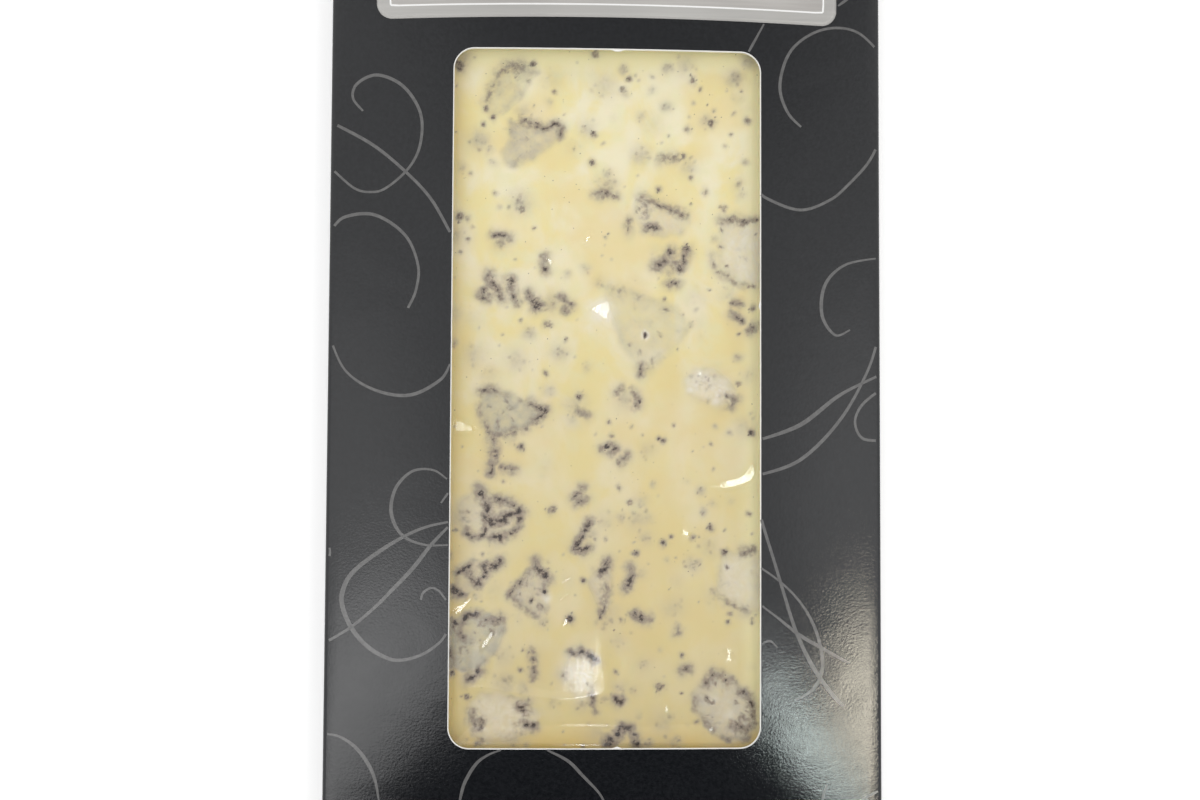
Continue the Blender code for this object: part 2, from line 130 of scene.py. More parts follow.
# Cookie pieces in the slab's face, in the order of their nodes. Each has its outline in the
# photograph, then how much it greys the face, whitens it and darkens its own rim, and its hue, from
# -1 for greenish to 1 for lavender.
CHUNKS = (
    ((533, 62, 540, 72, 528, 82, 522, 98, 508, 112, 492, 119, 484, 108, 490, 92, 497, 76, 508, 66),
     0.34, 0, 0.15, -0.1),
    ((509, 120, 522, 121, 535, 123, 543, 128, 556, 123, 562, 129, 560, 138, 547, 149, 533, 160, 513,
     167, 503, 161, 502, 153, 508, 140), 0.5, 0.15, 0.2, 0.1),
    ((636, 194, 648, 193, 669, 206, 684, 213, 690, 222, 682, 234, 660, 238, 640, 232, 632, 214), 0.3,
     0.3, 0.12, 0.5),
    ((719, 222, 737, 218, 756, 219, 768, 226, 768, 286, 752, 289, 738, 284, 722, 271, 716, 255, 719,
     238), 0.3, 0.45, 0.12, 0.5),
    ((671, 248, 690, 246, 692, 262, 684, 272, 668, 278, 656, 268, 660, 256), 0.32, 0, 0.2, 0.4),
    ((486, 272, 500, 274, 516, 272, 520, 290, 518, 304, 504, 304, 486, 301, 480, 290), 0.34, 0, 0.12,
     0.3),
    ((603, 284, 628, 288, 650, 296, 676, 306, 691, 325, 680, 345, 661, 361, 643, 374, 632, 360, 620,
     344, 612, 320, 604, 300), 0.28, 0.12, 0.08, -0.6),
    ((684, 380, 694, 369, 712, 367, 730, 378, 738, 390, 735, 406, 716, 406, 698, 401, 686, 394), 0.22,
     0.6, 0.12, 0.6),
    ((494, 388, 484, 391, 478, 405, 483, 422, 493, 438, 506, 435, 527, 428, 547, 414, 546, 408, 527,
     400, 508, 392), 0.62, 0, 0.5, -0.5),
    ((458, 500, 472, 490, 484, 492, 504, 497, 519, 508, 521, 522, 513, 535, 498, 541, 478, 540, 462,
     532, 454, 516), 0.36, 0.15, 0.1, 0.3),
    ((456, 572, 466, 560, 482, 560, 500, 560, 498, 570, 486, 584, 470, 592, 456, 596, 450, 584), 0.42,
     0, 0.2, 0.2),
    ((722, 552, 744, 550, 768, 552, 768, 612, 744, 612, 726, 602, 715, 590, 718, 566), 0.26, 0.36,
     0.12, 0.1),
    ((534, 560, 540, 570, 548, 578, 547, 600, 546, 612, 540, 622, 528, 612, 512, 602, 508, 594, 518,
     580), 0.5, 0.1, 0.35, 0.5),
    ((604, 563, 611, 570, 611, 604, 603, 616, 594, 602, 587, 582, 592, 572), 0.36, 0.2, 0.12, 0.4),
    ((447, 620, 463, 616, 480, 612, 500, 616, 506, 628, 498, 650, 482, 668, 462, 672, 446, 668), 0.76,
     0, 0.22, -0.45),
    ((570, 654, 584, 650, 596, 660, 600, 672, 592, 692, 578, 700, 568, 690, 562, 672), 0.14, 0.75, 0.1,
     0.5),
    ((715, 671, 730, 674, 744, 688, 756, 702, 757, 722, 748, 740, 728, 742, 706, 728, 694, 712, 692,
     694, 702, 680), 0.58, 0.22, 0.45, 0.1),
    ((468, 700, 480, 692, 504, 692, 528, 700, 542, 712, 538, 730, 516, 742, 486, 746, 470, 736, 464,
     718), 0.26, 0.35, 0.15, 0.8),
)

# Dark lines of cookie showing through: points in the photograph, width there and strength.
STROKES = (
    ((500, 72, 492, 88, 488, 100), 4.5, 0.45), ((506, 67, 516, 67, 524, 66), 5, 0.6),
    ((523, 121, 533, 123, 543, 128, 556, 123, 561, 129, 560, 136), 2.6, 0.85),
    ((524, 122, 534, 123, 540, 126), 3.4, 0.8), ((597, 194, 608, 192, 615, 196), 3.6, 0.75),
    ((660, 160, 667, 158, 674, 158), 4, 0.6),
    ((641, 197, 650, 201, 660, 205, 670, 209, 684, 215), 4, 0.62),
    ((642, 197, 648, 207, 645, 216), 3.4, 0.6), ((646, 228, 651, 226, 657, 228), 3.4, 0.8),
    ((630, 219, 627, 225, 629, 231), 3.2, 0.6), ((721, 220, 733, 219, 744, 222, 756, 220), 3.6, 0.6),
    ((494, 235, 502, 236, 509, 239), 3.2, 0.75), ((545, 256, 544, 264, 546, 271), 3, 0.75),
    ((489, 275, 491, 282, 498, 288, 502, 298), 4.4, 0.75),
    ((486, 290, 481, 295, 486, 300, 491, 296), 3.4, 0.75),
    ((511, 279, 510, 286, 513, 295, 516, 302), 4, 0.75),
    ((529, 293, 531, 301, 540, 305, 535, 308), 3.8, 0.85),
    ((560, 296, 567, 303, 572, 305, 564, 310), 3, 0.7), ((671, 253, 668, 259, 658, 266), 5, 0.95),
    ((687, 252, 684, 260, 680, 268, 675, 266), 4.2, 0.85), ((669, 284, 676, 283), 4, 0.7),
    ((600, 284, 610, 288, 624, 292, 640, 296), 5, 0.28),
    ((713, 262, 716, 270, 728, 277, 740, 285, 753, 287), 3, 0.45), ((733, 304, 740, 304), 3.4, 0.6),
    ((731, 314, 737, 318, 741, 320), 3, 0.8), ((749, 330, 754, 326), 3.6, 0.75),
    ((641, 366, 641, 374), 3.2, 0.75), ((654, 361, 646, 370), 5, 0.3),
    ((483, 392, 490, 389, 495, 391), 4.6, 0.7),
    ((530, 403, 540, 407, 546, 410, 543, 415, 534, 420), 3.6, 0.75),
    ((479, 404, 480, 412, 486, 427, 493, 437), 2.6, 0.55), ((493, 438, 507, 435, 527, 428), 2.4, 0.5),
    ((493, 440, 494, 449), 4.4, 0.8), ((616, 394, 621, 389), 3.4, 0.5),
    ((634, 392, 639, 400, 636, 406), 3.6, 0.6), ((579, 412, 588, 416), 3, 0.75),
    ((604, 449, 610, 445, 616, 448, 611, 452), 3.4, 0.75), ((620, 461, 626, 456), 4, 0.7),
    ((728, 396, 735, 400, 731, 406), 3.4, 0.6), ((492, 460, 491, 472), 3.8, 0.8),
    ((503, 468, 514, 470), 3.6, 0.7),
    ((480, 490, 484, 500, 489, 507, 488, 519, 501, 521, 508, 515, 519, 512), 4.8, 0.98),
    ((495, 500, 506, 502, 514, 507, 519, 513), 4.2, 0.85),
    ((519, 516, 518, 526, 512, 533, 505, 536), 3.6, 0.7), ((492, 537, 500, 538), 4.6, 0.75),
    ((467, 532, 473, 537, 482, 535, 487, 529), 3.6, 0.8), ((574, 498, 580, 493, 582, 488), 4, 0.6),
    ((578, 502, 583, 499), 4, 0.7), ((590, 521, 583, 533, 577, 545), 3.2, 0.8),
    ((575, 549, 583, 551, 588, 547), 3.8, 0.75),
    ((459, 571, 470, 566, 471, 578, 477, 584, 485, 576), 3.6, 0.75),
    ((487, 571, 484, 566, 494, 566, 500, 561), 3.6, 0.8), ((453, 590, 456, 593, 462, 594), 4.2, 0.8),
    ((535, 561, 537, 568, 543, 573, 547, 580), 3.8, 0.8), ((509, 596, 514, 588, 522, 580), 3, 0.6),
    ((513, 600, 524, 608, 534, 614), 2.8, 0.4), ((607, 563, 605, 569, 600, 573), 4.6, 0.7),
    ((606, 588, 605, 600, 602, 612), 4.8, 0.5), ((630, 567, 632, 575, 627, 585, 625, 589), 3.4, 0.8),
    ((636, 615, 643, 618, 648, 618), 3.6, 0.85), ((742, 552, 752, 551), 3.6, 0.65),
    ((719, 596, 727, 603, 744, 609), 2.8, 0.35), ((454, 620, 460, 627, 462, 636), 3.8, 0.75),
    ((462, 621, 468, 616, 478, 615), 3.6, 0.75), ((484, 620, 494, 620, 500, 618), 3.6, 0.6),
    ((449, 648, 450, 662), 3.8, 0.6), ((467, 679, 472, 675, 478, 672), 4.4, 0.85),
    ((532, 651, 533, 664, 534, 678), 3.6, 0.45), ((571, 653, 581, 651, 590, 655, 595, 662), 2.8, 0.9),
    ((677, 627, 680, 631, 675, 634), 3, 0.4), ((592, 694, 593, 702), 3.4, 0.75),
    ((594, 704, 595, 712), 3, 0.4), ((615, 699, 619, 703, 622, 700), 3, 0.8),
    ((683, 670, 688, 668), 3.4, 0.75), ((706, 683, 713, 674, 722, 676, 726, 682), 4.2, 0.6),
    ((741, 690, 748, 697, 753, 710, 751, 726), 4, 0.6), ((731, 724, 740, 726), 3.2, 0.7),
    ((472, 712, 474, 724, 479, 728, 481, 720), 3.8, 0.65), ((521, 706, 526, 711), 4.6, 0.8),
    ((524, 723, 533, 727), 4.2, 0.85), ((618, 735, 622, 728, 630, 728, 634, 735), 4.2, 0.8),
    ((606, 743, 613, 740), 4.4, 0.85), ((634, 742, 640, 744), 3.6, 0.6),
)

# Specks and smudges: place in the photograph, radius there and strength.
DOTS = (
    (460, 65, 6, 0.75), (466, 58, 6, 0.3), (516, 69, 7, 0.4), (533, 64, 3.4, 0.8), (503, 71, 4, 0.5),
    (486, 108, 3, 0.85), (494, 118, 2.8, 0.8), (484, 125, 2.6, 0.75), (529, 82, 2.6, 0.5),
    (554, 91, 2.4, 0.7), (629, 79, 2.6, 0.8), (623, 70, 4, 0.35), (623, 90, 3.6, 0.55),
    (652, 77, 2, 0.5), (596, 53, 5, 0.45), (596, 55, 2.4, 0.7), (668, 67, 5, 0.3), (692, 81, 3.6, 0.7),
    (700, 89, 2.4, 0.6), (735, 79, 8, 0.38), (749, 62, 7, 0.36), (666, 107, 5, 0.34),
    (711, 123, 3.6, 0.75), (706, 121, 6, 0.28), (688, 129, 3.2, 0.6), (734, 114, 2, 0.6),
    (747, 121, 2.8, 0.85), (731, 134, 1.8, 0.6), (725, 146, 2, 0.4), (714, 111, 2, 0.4),
    (641, 116, 4.4, 0.24), (479, 140, 9, 0.3), (488, 149, 5, 0.24), (493, 162, 4, 0.24),
    (471, 174, 2, 0.6), (462, 167, 4, 0.24), (593, 133, 3, 0.9), (587, 128, 8, 0.22),
    (592, 163, 3.4, 0.8), (607, 174, 4.4, 0.36), (608, 184, 8, 0.3), (602, 197, 3, 0.75),
    (614, 197, 3.2, 0.75), (641, 155, 8, 0.3), (683, 157, 3, 0.8), (691, 178, 2.8, 0.65),
    (659, 190, 2.4, 0.9), (691, 204, 1.4, 0.8), (705, 192, 3, 0.6), (738, 185, 5, 0.4),
    (745, 162, 3, 0.36), (639, 209, 3, 0.5), (534, 227, 1.6, 0.6), (468, 240, 2.2, 0.6),
    (459, 217, 4.4, 0.7), (467, 219, 3.4, 0.4), (496, 194, 2.2, 0.75), (518, 201, 3, 0.55),
    (522, 209, 3.4, 0.5), (521, 203, 9, 0.3), (500, 242, 8, 0.4), (605, 237, 1.4, 0.7),
    (608, 233, 1, 0.6), (723, 209, 3.4, 0.5), (726, 206, 2, 0.5), (732, 218, 4.2, 0.7),
    (743, 223, 2.6, 0.9), (722, 230, 2.4, 0.7), (721, 247, 2.6, 0.7), (686, 248, 3.6, 0.9),
    (670, 250, 3.6, 0.9), (460, 252, 2.4, 0.5), (493, 283, 4, 0.8), (502, 298, 4, 0.4),
    (511, 282, 4, 0.85), (537, 299, 3.4, 0.7), (541, 305, 2.4, 0.95), (552, 303, 9, 0.34),
    (548, 324, 4, 0.6), (521, 321, 1.6, 0.7), (503, 335, 1.2, 0.7), (565, 340, 1.5, 0.9),
    (529, 333, 5.4, 0.3), (559, 352, 7, 0.3), (516, 360, 9, 0.22), (546, 373, 2.6, 0.6),
    (586, 269, 4.4, 0.22), (567, 274, 3.6, 0.24), (679, 268, 3.4, 0.9), (645, 335, 1.2, 1.6),
    (630, 345, 2.6, 0.4), (660, 334, 3.4, 0.4), (639, 352, 2.6, 0.55), (663, 300, 2, 0.75),
    (666, 310, 2.8, 0.55), (683, 314, 1.4, 0.5), (636, 308, 3, 0.22), (696, 310, 2, 0.3),
    (690, 325, 3.4, 0.3), (726, 267, 1.6, 0.85), (736, 304, 4, 0.6), (753, 308, 3.2, 0.7),
    (751, 329, 3.4, 0.75), (730, 303, 1.4, 0.7), (739, 334, 1.5, 0.7), (709, 291, 1.4, 0.5),
    (739, 383, 3, 0.5), (738, 358, 3.6, 0.36), (700, 384, 9, 0.2), (705, 378, 5, 0.3),
    (495, 456, 3, 0.9), (520, 447, 3.2, 0.75), (580, 396, 3.2, 0.8), (576, 405, 9, 0.24),
    (609, 422, 2.2, 0.65), (612, 435, 2.2, 0.6), (610, 448, 6, 0.3), (632, 427, 1.5, 0.6),
    (658, 438, 2.2, 0.9), (663, 440, 2.6, 0.85), (674, 425, 1.6, 0.75), (711, 443, 1.4, 0.6),
    (714, 426, 2.4, 0.34), (729, 433, 3.2, 0.34), (751, 434, 3.2, 1.1), (454, 343, 4, 0.34),
    (625, 399, 9, 0.26), (503, 481, 1.8, 0.6), (481, 493, 2.6, 0.8), (463, 517, 9, 0.34),
    (468, 512, 2, 0.6), (457, 530, 3.4, 0.4), (500, 528, 10, 0.2), (581, 501, 5.4, 0.4),
    (552, 510, 4.2, 0.45), (619, 487, 2.8, 0.5), (631, 502, 3.6, 0.42), (622, 517, 5, 0.26),
    (592, 534, 6, 0.3), (581, 550, 4, 0.7), (701, 490, 4, 0.36), (704, 511, 3.6, 0.36),
    (711, 528, 3, 0.75), (693, 538, 2.2, 0.8), (664, 543, 3.2, 0.7), (671, 537, 1.9, 0.75),
    (645, 538, 6, 0.24), (749, 513, 1.9, 0.65), (713, 469, 1.5, 0.6), (653, 484, 3, 0.28),
    (606, 539, 1.8, 0.45), (487, 569, 5, 0.4), (449, 555, 2.6, 0.7), (482, 554, 1.6, 0.65),
    (477, 584, 3, 0.8), (455, 591, 3.4, 0.85), (531, 600, 3, 0.75), (540, 607, 3.8, 0.45),
    (544, 591, 2.6, 1.3), (543, 621, 5.4, 0.3), (584, 581, 2.6, 0.8), (601, 618, 2.4, 0.65),
    (607, 566, 4.4, 0.6), (636, 554, 2.8, 0.9), (667, 560, 3, 0.2), (692, 564, 6.4, 0.3),
    (697, 562, 3.4, 0.36), (642, 617, 3.4, 0.8), (630, 613, 3.2, 0.4), (622, 620, 3, 0.4),
    (570, 619, 3.8, 0.8), (724, 553, 3, 0.75), (728, 567, 2.6, 0.6), (715, 591, 5, 0.3),
    (746, 611, 7, 0.28), (730, 614, 2.6, 0.6), (729, 623, 2.2, 0.55), (752, 622, 2, 0.5),
    (682, 656, 2.6, 0.7), (686, 668, 2.4, 0.8), (477, 614, 3, 0.85), (465, 619, 3.2, 0.85),
    (455, 623, 3.4, 0.75), (494, 620, 5.4, 0.45), (451, 673, 3.2, 0.75), (449, 656, 4.4, 0.5),
    (521, 670, 2.2, 0.75), (523, 649, 1.6, 0.5), (533, 652, 3, 0.6), (533, 672, 5.4, 0.38),
    (564, 675, 6, 0.3), (591, 689, 5.4, 0.34), (616, 672, 3.2, 0.42), (620, 688, 7.4, 0.22),
    (659, 687, 4.6, 0.45), (618, 641, 8, 0.14), (697, 722, 1.9, 0.75), (706, 697, 1.5, 0.9),
    (742, 692, 3.4, 0.6), (753, 713, 4.4, 0.5), (746, 731, 4.4, 0.45), (698, 698, 6, 0.3),
    (736, 724, 3, 0.7), (466, 697, 3.4, 0.55), (524, 709, 4.4, 0.6), (527, 703, 6, 0.3),
    (533, 727, 3, 0.8), (479, 742, 5.4, 0.4), (624, 731, 5, 0.5), (609, 742, 3.4, 0.8),
    (636, 742, 3, 0.6), (583, 746, 2.4, 0.6), (675, 742, 7, 0.26), (648, 745, 5, 0.3),
    (450, 620, 3, 0.5), (472, 640, 7, 0.3),
)

# Lines of the card's flourishes: points of each in the photograph, and its greatest width there.
FLOURISHES = (
    ((363, 111, 353, 98, 357, 84, 376, 75, 399, 83, 415, 101, 422, 122, 419, 149, 407, 170, 386, 188,
     371, 192, 354, 188, 331, 168), 4.2),
    ((331, 122, 373, 145, 407, 173, 431, 199, 450, 232), 4.6),
    ((408, 308, 416, 290, 418, 265, 405, 235, 375, 215, 345, 217, 331, 230), 4.4),
    ((329, 335, 345, 370, 375, 390, 410, 395, 440, 380, 450, 364), 4.2),
    ((447, 479, 433, 470, 413, 471, 397, 486, 391, 507, 395, 525, 406, 538, 426, 545, 448, 545), 4.2),
    ((448, 522, 426, 527, 403, 537, 377, 553, 354, 571, 344, 587, 342, 604, 351, 627, 367, 646, 387,
     658, 403, 660, 423, 654, 439, 643, 446, 634), 5.6),
    ((448, 527, 431, 545, 413, 568, 393, 589, 374, 608, 351, 627, 328, 641), 5),
    ((421, 600, 423, 593, 431, 588, 439, 591, 446, 600), 3.2), ((441, 503, 448, 493), 3),
    ((326, 538, 330, 551, 327, 568), 3),
    ((323, 734, 338, 736, 354, 746, 367, 762, 375, 780, 379, 802), 4.4),
    ((459, 812, 460, 800, 465, 782, 476, 764, 488, 755, 501, 750), 4),
    ((547, 750, 568, 761, 583, 776, 599, 793, 606, 806), 4),
    ((801, 127, 788, 113, 780, 90, 784, 65, 795, 46, 816, 32, 839, 28, 860, 34, 880, 53), 4.2),
    ((879, 142, 868, 163, 849, 184, 830, 200, 800, 210, 766, 198, 756, 187), 4.2),
    ((764, 24, 748, 53), 3.4), ((852, -4, 838, 6), 3.4),
    ((850, 330, 835, 335, 822, 315, 825, 285, 845, 265, 879, 258), 4.2),
    ((756, 441, 800, 425, 840, 395, 880, 375), 5.2),
    ((756, 476, 800, 460, 840, 420, 868, 370, 880, 330), 4.6),
    ((880, 390, 862, 405, 855, 422, 862, 438, 880, 441), 4),
    ((758, 508, 766, 535, 775, 564, 784, 594, 794, 626, 805, 652, 818, 675, 833, 695, 843, 706), 5),
    ((758, 566, 778, 580, 795, 596, 808, 614, 817, 634, 822, 655, 822, 669, 817, 684, 807, 694, 795,
     700), 4.2),
    ((758, 603, 778, 618, 798, 634, 818, 646, 836, 656, 849, 663), 4.2),
    ((762, 644, 770, 641, 778, 648), 2.6), ((822, 802, 824, 793, 827, 784), 3),
    ((351, 806, 352, 840, 340, 862, 318, 876), 3.6),
    ((880, 790, 856, 804, 836, 826, 826, 852, 832, 872, 848, 878), 3.6),
    ((470, 866, 520, 856, 570, 862, 622, 884), 3.6),
)

# Facets of the creased film that mirror a lamp: the lamp, and the outline in the photograph.
FACETS = (
    ("low", (454, 418, 463, 420, 472, 426, 475, 432, 464, 433, 455, 433)),
    ("right", (711, 488, 722, 481, 736, 478, 747, 474, 754, 465, 757, 473, 752, 482, 741, 486, 727,
     489)),
    ("low", (547, 254, 552, 257, 554, 263, 550, 269, 547, 263)),
    ("low", (590, 232, 592, 235, 588, 243, 584, 243, 586, 237)),
    ("low", (470, 595, 471, 599, 461, 613, 456, 617, 454, 613, 463, 603)),
    ("low", (493, 631, 494, 636, 487, 646, 481, 650, 479, 645, 486, 637)),
    ("low", (570, 576, 571, 579, 563, 585, 560, 583)),
    ("low", (564, 618, 567, 618, 567, 627, 564, 627)),
    ("right", (681, 528, 684, 528, 690, 535, 689, 539, 683, 535)),
    ("low", (588, 308, 598, 302, 610, 299, 612, 306, 609, 315, 611, 325, 603, 320, 596, 314)),
    ("right", (726, 648, 728, 648, 733, 661, 730, 663)),
    ("right", (665, 707, 669, 708, 668, 713, 665, 712)),
    ("right", (709, 728, 713, 728, 713, 732, 709, 732)),
    ("low", (448, 711, 451, 711, 451, 720, 448, 720)),
    ("right", (698, 371, 702, 372, 701, 376, 698, 376)),
    ("low", (560, 599, 567, 592, 568, 594, 561, 602)),
)

# Long soft folds of the film: points in the photograph, width there and height in millimetres.
FOLDS = (
    ((462, 691, 481, 687, 507, 692, 560, 700, 610, 694), 5, 0.1),
    ((672, 396, 674, 440, 678, 500), 8, 0.1), ((697, 398, 695, 450, 690, 505), 7, -0.09),
    ((540, 60, 546, 200, 538, 330), 16, 0.07), ((610, 560, 600, 640, 606, 735), 14, 0.05),
    ((655, 60, 650, 180, 664, 300), 14, 0.06), ((500, 330, 540, 420, 552, 540), 12, 0.06),
    ((720, 120, 705, 240, 716, 350), 12, 0.07),
)

# Pale patches of the slab's face, pale cream in some and painted highlights of the film's glare in
# others: place in the photograph, radius there and strength.
PALE_AND_GLARE = (
    (600, 310, 13, 0.85), (590, 304, 8, 0.6), (606, 318, 8, 0.7), (612, 218, 16, 0.25),
    (575, 670, 14, 0.7), (582, 690, 10, 0.4), (700, 374, 4, 0.9), (690, 389, 4, 0.8),
    (716, 400, 5, 0.7), (728, 567, 5, 0.8), (546, 597, 5, 0.6), (684, 450, 18, 0.22),
    (690, 410, 14, 0.2), (680, 490, 16, 0.2), (730, 715, 9, 0.5), (714, 700, 6, 0.5),
    (498, 718, 12, 0.4), (740, 580, 12, 0.3), (540, 112, 10, 0.3), (640, 150, 9, 0.3),
)

# Brightness of the surroundings, and patches overhead that are brighter or darker: middle and reach
# as X/Z and Y/Z of the way there, the part of the reach that is even, and the share added.
SKY_LEVEL = 1.05
SKY_LOWEST = 0.05
SKY_PATCHES = (
    ((0.05, 0.02), (0.62, 0.55), 0.75, -0.13), ((0.1, 0.42), (0.44, 0.32), 0, -0.55),
    ((-0.34, -0.02), (0.2, 0.2), 0, 0.6), ((0.44, -0.02), (0.18, 0.2), 0, 0.65),
    ((-0.235, -0.168), (0.2, 0.135), 0.25, 1.8), ((0.03, -0.385), (0.325, 0.29), 0.8, -0.95),
)

# Lamps: place, width and length, turn in degrees, power and colour.
LAMPS = {
    "right": ((0.388, -0.322, 1.2), (0.062, 0.105), 26, 0.30, (0.87, 1.0, 0.955)),
    "inner": ((0.349, -0.262, 1.2), (0.04, 0.085), 9, 0.07, (0.93, 1.0, 0.985)),
    "side": ((0.520, -0.258, 1.2), (0.085, 0.23), -38, 0.82, (1.0, 0.92, 0.75)),
    "low": ((0.022, -0.258, 1.2), (0.036, 0.046), 0, 0.082, (0.96, 0.99, 1.0)),
}

# How the marks are painted. They are darker towards the slab's lower end, by height above the
# window's middle. Painted golden shade lies in a band along two sides of the window, and painted
# light along the others. Strays are smudges and specks: least and most radius in millimetres and
# strength.
MARK_HEIGHTS = (-40 * MM, 0, 45 * MM)
MARK_SHARES = (1.33, 1.01, 0.91)
PLAIN_HUE = 0.62
WARP = 0.6 * MM
# The pinhole is painted dark as the shade in its pit, ringed by a painted glint.
PINHOLE = (645, 335)
PINHOLE_RADIUS = 0.42 * MM
PINHOLE_GLINT = 0.75 * MM
PINHOLE_GLINT_WIDTH = 0.3 * MM
# Reaches of the painted golden shade at the window's left and lower edges.
PAINTED_SHADE_LEFT, PAINTED_SHADE_LOW = 3.0 * MM, 3.4 * MM
# Reaches of the painted light at the window's right and upper edges.
PAINTED_LIGHT_RIGHT, PAINTED_LIGHT_HIGH = 2.8 * MM, 3.4 * MM
CLOT_SEED = 31
CLOT_SHARE = 0.4
RING_SHARE = 0.1
FAINT = 0.4
STRAYS = ((0.5, 2.4, 0.05, 0.26), (0.16, 0.34, 0.25, 0.5))
STRAY_COUNT = 100
CRUMB_SEED = 5
SPECK_SEED = 17
SPECK_COUNT = 340
SPECK_MARGIN = 3 * MM


def at_pixel(px, py, z):
    """Where a pixel of the photograph lies on a level plane."""
    across, down = px - PHOTO_WIDTH / 2, py - PHOTO_HEIGHT / 2
    ray = Vector((across / FOCAL_PIXELS, -down / FOCAL_PIXELS, -1.0))
    ray.rotate(CAMERA_TURN)
    return CAMERA_PLACE + ray * ((z - CAMERA_PLACE.z) / ray.z)


def on_slab(px, py):
    return at_pixel(px, py, SLAB_TOP)[:2]


def on_panel(px, py, drop=0.0):
    """Where a pixel of the photograph lies on the bulging front panel, or this far below it."""
    z = PACK_DEPTH
    for _ in range(4):
        place = at_pixel(px, py, z)
        z = panel_height(place.x, place.y) - drop
    return place[:2]


def pairs(flat):
    return list(zip(flat[::2], flat[1::2]))


def slab_outline(flat):
    return [on_slab(px, py) for px, py in pairs(flat)]


def film_outline(flat):
    return [on_panel(px, py, FILM_DROP) for px, py in pairs(flat)]


def middle_of(outline):
    return [sum(values) / len(outline) for values in zip(*outline)]


def steps(count):
    """Fractions from 0 to 1 with this many steps between them."""
    return [i / count for i in range(count + 1)]


def panel_height(x, y):
    """Outer face of the bulging front panel, for numbers or arrays."""
    across = 1 - np.minimum(1, np.abs(x) / PANEL_HALF_WIDTH) ** 2
    along = 1 - np.minimum(1, np.abs(y) / PANEL_HALF_LENGTH) ** 4
    return PACK_DEPTH + CROWN * across * along


def smooth_line(points, per_span):
    """Points along a smooth curve through the given ones."""
    ends = [points[0]] + points + [points[-1]]
    line = []
    for a, b, c, d in zip(ends, ends[1:], ends[2:], ends[3:]):
        for t in steps(per_span)[:-1]:
            spot = []
            for p, q, r, s in zip(a, b, c, d):
                cubic = (3 * q - p - 3 * r + s) * t ** 3
                square = (2 * p - 5 * q + 4 * r - s) * t ** 2
                spot.append(0.5 * (2 * q + (r - p) * t + square + cubic))
            line.append(tuple(spot))
    return line + [points[-1]]


class Nodes:
    """Short way to write the nodes of a material or of the world."""

    def __init__(self, owner, place="Object"):
        owner.use_nodes = True
        self.owner = owner
        self.nodes = owner.node_tree.nodes
        self.place = self.add("TexCoord").outputs[place]

    def add(self, kind, inputs=(), **settings):
        """New node with its settings and what its inputs take: sockets or plain values."""
        node = self.nodes.new("ShaderNode" + kind)
        for key, value in settings.items():
            setattr(node, key, value)
        for key, value in dict(inputs).items():
            self.feed(node.inputs[key], value)
        return node

    def feed(self, socket, value):
        if isinstance(value, bpy.types.NodeSocket):
            self.owner.node_tree.links.new(value, socket)
        elif socket.type == "RGBA":
            socket.default_value = (*value, 1.0)
        else:
            socket.default_value = value

    def noise(self, scale, detail=3, rough=0.5, stretch=None, distortion=0):
        place = self.place
        if stretch:
            place = self.add("Mapping", {"Vector": place, "Scale": stretch}).outputs[0]
        inputs = {"Vector": place, "Scale": scale, "Detail": detail, "Roughness": rough}
        return self.add("TexNoise", {**inputs, "Distortion": distortion}).outputs["Fac"]

    def ramp(self, value, low, high, low_out=0, high_out=1):
        ends = {"From Min": low, "From Max": high, "To Min": low_out, "To Max": high_out}
        node = self.add("MapRange", {"Value": value, **ends}, interpolation_type="SMOOTHSTEP")
        return node.outputs["Result"]

    def math(self, operation, *values, clamp=False):
        node = self.add("Math", enumerate(values), operation=operation, use_clamp=clamp)
        return node.outputs[0]

    def times(self, a, b, clamp=False):
        return self.math("MULTIPLY", a, b, clamp=clamp)

    def mix(self, factor, a, b):
        node = self.add("Mix", {"Factor": factor, "A": a, "B": b}, data_type="RGBA")
        return node.outputs["Result"]

    def bands(self, name):
        """The three bands of one of the mesh's colour attributes."""
        colour = self.add("Attribute", attribute_name=name).outputs["Color"]
        return self.add("SeparateColor", {"Color": colour}).outputs

    def bump(self, height, strength, distance, below=None):
        node = self.add("Bump", {"Strength": strength, "Distance": distance, "Height": height})
        if below:
            self.feed(node.inputs["Normal"], below)
        return node.outputs["Normal"]

    def finish(self, colour, roughness, normal=None, **plain):
        shader = self.nodes["Principled BSDF"]
        values = {"Base_Color": colour, "Roughness": roughness, "Normal": normal, **plain}
        for name, value in values.items():
            if value is not None:
                self.feed(shader.inputs[name.replace("_", " ")], value)
        return self.owner


def material(name):
    return Nodes(bpy.data.materials.new(name))


def laminate_bumps(nodes):
    """Fine grain, faint orange peel and low swell of the laminated card."""
    fine = nodes.bump(nodes.noise(2100, 3, 0.65, (0.9, 1.05, 1.0)), 0.26, 0.00006)
    peel = nodes.bump(nodes.noise(620, 2, 0.5, (0.75, 1.05, 1.0), 0.3), 0.04, 0.0001, fine)
    return nodes.bump(nodes.noise(80, 1, 0.5, (0.8, 1.0, 1.0), 0.4), 0.2, 0.0003, peel)


def card_material():
    """Black card under a satin laminate, whose faint orange peel breaks up its reflections."""
    nodes = material("black_laminate")
    grain = nodes.ramp(nodes.noise(1300, 4, 0.75), 0.3, 0.7)
    tone = nodes.mix(grain, (0.0038, 0.0045, 0.0060), (0.0112, 0.0122, 0.0145))
    rough = nodes.ramp(nodes.noise(420, 4, 0.7, (0.4, 1.4, 1.0)), 0.3, 0.7, 0.058, 0.082)
    return nodes.finish(tone, rough, laminate_bumps(nodes), Specular_IOR_Level=0.55)


